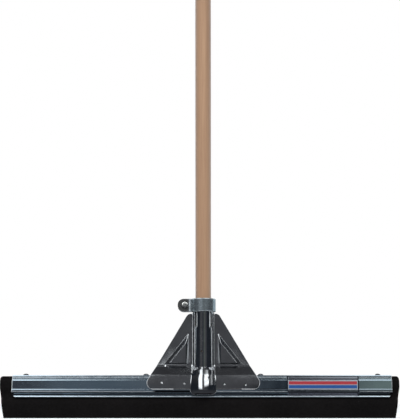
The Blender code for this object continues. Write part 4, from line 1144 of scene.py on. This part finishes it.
BRIGHT = fastener_steel("bright_fastener", (0.58, 0.58, 0.56), (0.80, 0.80, 0.77))
SCREW_SIDE = (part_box("clamp_screw")[0].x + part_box("clamp_screw")[1].x) / 2
SCREW_SEAT, SCREW_TIP = 0.0063, -0.0119
SCREW_HEAD, SCREW_HEAD_EDGE, SCREW_HEAD_RISE = 0.0047, 0.0010, 0.0020
SCREW_RADIUS, THREAD_DEPTH, THREAD_PITCH = 0.0025, 0.0004, 0.0008
DRIVE_SLOT, DRIVE_DEPTH = 0.0018, 0.0012    # width and depth of the slot across the head
NUT_ACROSS, NUT_HEIGHT, NUT_CHAMFER = 0.0080, 0.0040, 0.0005


def to_screw_axis(shape):
    """Turn a piece made along Z so that its head end faces the rear, and move it to the screw's axis."""
    bmesh.ops.rotate(shape, verts=shape.verts, cent=(0, 0, 0), matrix=Matrix.Rotation(-pi / 2, 3, "X"))
    bmesh.ops.translate(shape, verts=shape.verts, vec=(SCREW_SIDE, 0, BAND_CENTRE))
    return shape


def screw_shape():
    """Domed head with a drive slot, rings for the thread, and a short point."""
    profile = dome(SCREW_HEAD, SCREW_SEAT + SCREW_HEAD_EDGE, SCREW_HEAD_RISE)
    profile += [(SCREW_HEAD, SCREW_SEAT), (SCREW_RADIUS, SCREW_SEAT)]
    for step in range(int((SCREW_SEAT - SCREW_TIP - 0.0012) / THREAD_PITCH)):
        top = SCREW_SEAT - 0.0006 - step * THREAD_PITCH
        profile += [(SCREW_RADIUS, top), (SCREW_RADIUS - THREAD_DEPTH, top - THREAD_PITCH / 2)]
    profile += [(SCREW_RADIUS * 0.75, SCREW_TIP), (0.0, SCREW_TIP)]
    shape = spun(profile, 32)
    sunk = set()
    for face in shape.faces:
        middle = face.calc_center_median()
        if middle.z > SCREW_SEAT + 0.0014 and abs(middle.x) < 0.0007:
            sunk.update(vert for vert in face.verts if abs(vert.co.x) < DRIVE_SLOT / 2)
    bmesh.ops.translate(shape, vec=(0, 0, -DRIVE_DEPTH), verts=list(sunk))
    return to_screw_axis(shape)


def nut_shape():
    shape = bmesh.new()
    corner = NUT_ACROSS / 2 / cos(pi / 6)
    rim = corner - SCREW_RADIUS - THREAD_DEPTH
    bmesh.ops.create_cone(
        shape, cap_ends=True, segments=6, radius1=corner, radius2=corner, depth=NUT_HEIGHT,
        matrix=Matrix.Translation((0, 0, -SCREW_SEAT - NUT_HEIGHT / 2)),
    )
    for cap in [face for face in shape.faces if len(face.verts) == 6]:
        bmesh.ops.inset_region(shape, faces=[cap], thickness=rim, use_even_offset=True)
    bmesh.ops.bevel(
        shape, geom=[edge for edge in shape.edges if edge.calc_face_angle(0) > radians(25)],
        offset=NUT_CHAMFER, segments=2, profile=0.5, affect="EDGES", material=-1,
    )
    return to_screw_axis(shape)


screw = add_piece("clamp_screw_turned", screw_shape(), BRIGHT)
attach(screw, "screw")
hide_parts("clamp_screw")
nut = add_piece("clamp_nut_hex", nut_shape(), BRIGHT, angle=30)
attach(nut, "nut")
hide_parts("clamp_nut")


# Studio
# A plain pale floor, soft boxes above the front (the right one in three steps), a soft strip at each side, a
# broad front fill and a dim room for the steel to reflect. The camera is low and looks a little upwards.

FLOOR_SIZE, FLOOR_DROP = 30.0, 0.0002
FILL_PLACE, FILL_TARGET = Vector((-0.25, -1.95, 1.1)), Vector((0, 0, 0.3))
CAMERA_PLACE = (-0.0046, -1.3, 0.020)
CAMERA_PITCH = radians(10.5)
CAMERA_FOCUS, PICTURE_HEIGHT = 924.0, 419.0         # both in pixels


def pale_floor():
    shape = bmesh.new()
    bmesh.ops.create_grid(shape, x_segments=1, y_segments=1, size=FLOOR_SIZE / 2)
    bmesh.ops.translate(shape, verts=shape.verts, vec=(0, 0, -FLOOR_DROP))
    finish, tree, shader, coords = new_finish("pale_floor")
    seen = add_node(tree, "ShaderNodeLightPath").outputs["Is Camera Ray"]
    feed(tree, shader, {
        "Base Color": (0.86, 0.87, 0.88, 1.0),
        "Roughness": 0.9,
        "Specular IOR Level": 0.0,
        "Emission Color": (1.0, 1.0, 1.0, 1.0),
        "Emission Strength": times(tree, seen, 0.40),
    })
    floor = add_piece("floor", shape, finish)
    floor.visible_glossy = False


pale_floor()


fill_lamp = bpy.data.lights.new("front_fill", "AREA")
fill_lamp.shape = "RECTANGLE"
fill_lamp.size, fill_lamp.size_y = 3.2, 1.2
fill_lamp.energy = 37.0
fill_lamp.color = (1.0, 0.99, 0.97)
front_fill = bpy.data.objects.new("front_fill", fill_lamp)
bpy.context.scene.collection.objects.link(front_fill)
front_fill.location = FILL_PLACE
front_fill.rotation_euler = (FILL_TARGET - FILL_PLACE).to_track_quat("-Z", "Y").to_euler()
front_fill.visible_glossy = False
front_fill.visible_camera = False

# What the steel reflects: azimuths and elevations (from, to, softness at each end) and brightness of a patch.
ROOM = (
    ((-200, 200, 1, 1), (66, 95, 6, 1), (0.070, 0.072, 0.078)),
    ((-10, 10, 2, 2), (5, 70, 4, 4), (0.125, 0.128, 0.138)),
    ((-38, 38, 10, 10), (-12, 9, 8, 4), (0.125, 0.128, 0.138)),
    ((-17, -9.2, 2, 0.8), (-8, 7, 2, 2), (0.040, 0.040, 0.048)),
    ((-9.2, -3.3, 0.8, 0.8), (-8, 7, 2, 2), (0.084, 0.100, 0.118)),
    ((3.4, 9.3, 0.6, 0.8), (-8, 7, 2, 2), (0.010, 0.014, 0.020)),
    ((9.5, 17, 0.8, 2), (-8, 7, 2, 2), (0.190, 0.222, 0.195)),
    ((-80, -52, 5, 4), (18, 60, 8, 8), (0.060, 0.063, 0.068)),
    ((54, 82, 4, 5), (18, 60, 8, 8), (0.060, 0.063, 0.068)),
    ((-128, -97, 6, 3), (-8, 16, 4, 4), (0.80, 0.92, 1.00)),
    ((101, 165, 3, 5), (-8, 24, 4, 8), (0.80, 0.92, 0.97)),
    ((-42, -10.5, 2.5, 2), (11, 73, 3, 3), (2.60, 2.70, 2.75)),
    ((8.5, 52, 2.5, 2.5), (18, 28, 3, 3), (2.60, 2.70, 2.72)),
    ((8.0, 41, 2, 2.5), (28, 44, 3, 3), (2.60, 2.70, 2.72)),
    ((11.5, 52, 3, 2.5), (44, 65, 3, 7), (2.60, 2.70, 2.72)),
    ((-172, -132, 4, 4), (12, 66, 4, 4), (0.60, 0.62, 0.65)),
    ((132, 172, 4, 4), (30, 66, 6, 4), (0.60, 0.62, 0.65)),
)


def studio_room():
    """White to the camera; to everything else a dark room with soft boxes, strips and dim walls."""
    world = bpy.data.worlds.new("room")
    bpy.context.scene.world = world
    world.use_nodes = True
    tree = world.node_tree
    coords = add_node(tree, "ShaderNodeTexCoord").outputs["Generated"]
    split = add_node(tree, "ShaderNodeSeparateXYZ", {"Vector": coords})
    ahead = times(tree, split.outputs["Y"], -1.0)
    turn = times(tree, combine(tree, "ARCTAN2", split.outputs["X"], ahead), degrees(1))
    rise = times(tree, combine(tree, "ARCSINE", split.outputs["Z"]), degrees(1))

    def patch(value, low, high, soft_low, soft_high):
        return within(tree, value, (low - soft_low, low + soft_low), (high - soft_high, high + soft_high))

    seen = mix(tree, remap(tree, rise, -30, 5), (0.065, 0.068, 0.076), (0.026, 0.032, 0.042))
    for turns, rises, colour in ROOM:
        seen = mix(tree, times(tree, patch(turn, *turns), patch(rise, *rises)), seen, colour)
    camera_ray = add_node(tree, "ShaderNodeLightPath").outputs["Is Camera Ray"]
    tree.links.new(mix(tree, camera_ray, seen, (1.0, 1.0, 1.0)), tree.nodes["Background"].inputs["Color"])


studio_room()

camera = bpy.data.objects.new("camera", bpy.data.cameras.new("camera"))
bpy.context.scene.collection.objects.link(camera)
camera.location = CAMERA_PLACE
camera.rotation_euler = (radians(90) + CAMERA_PITCH, 0, 0)
camera.data.lens = camera.data.sensor_width * CAMERA_FOCUS / PICTURE_HEIGHT
camera.data.shift_y = 0.0537
bpy.context.scene.camera = camera
bpy.context.scene.view_settings.view_transform = "Standard"
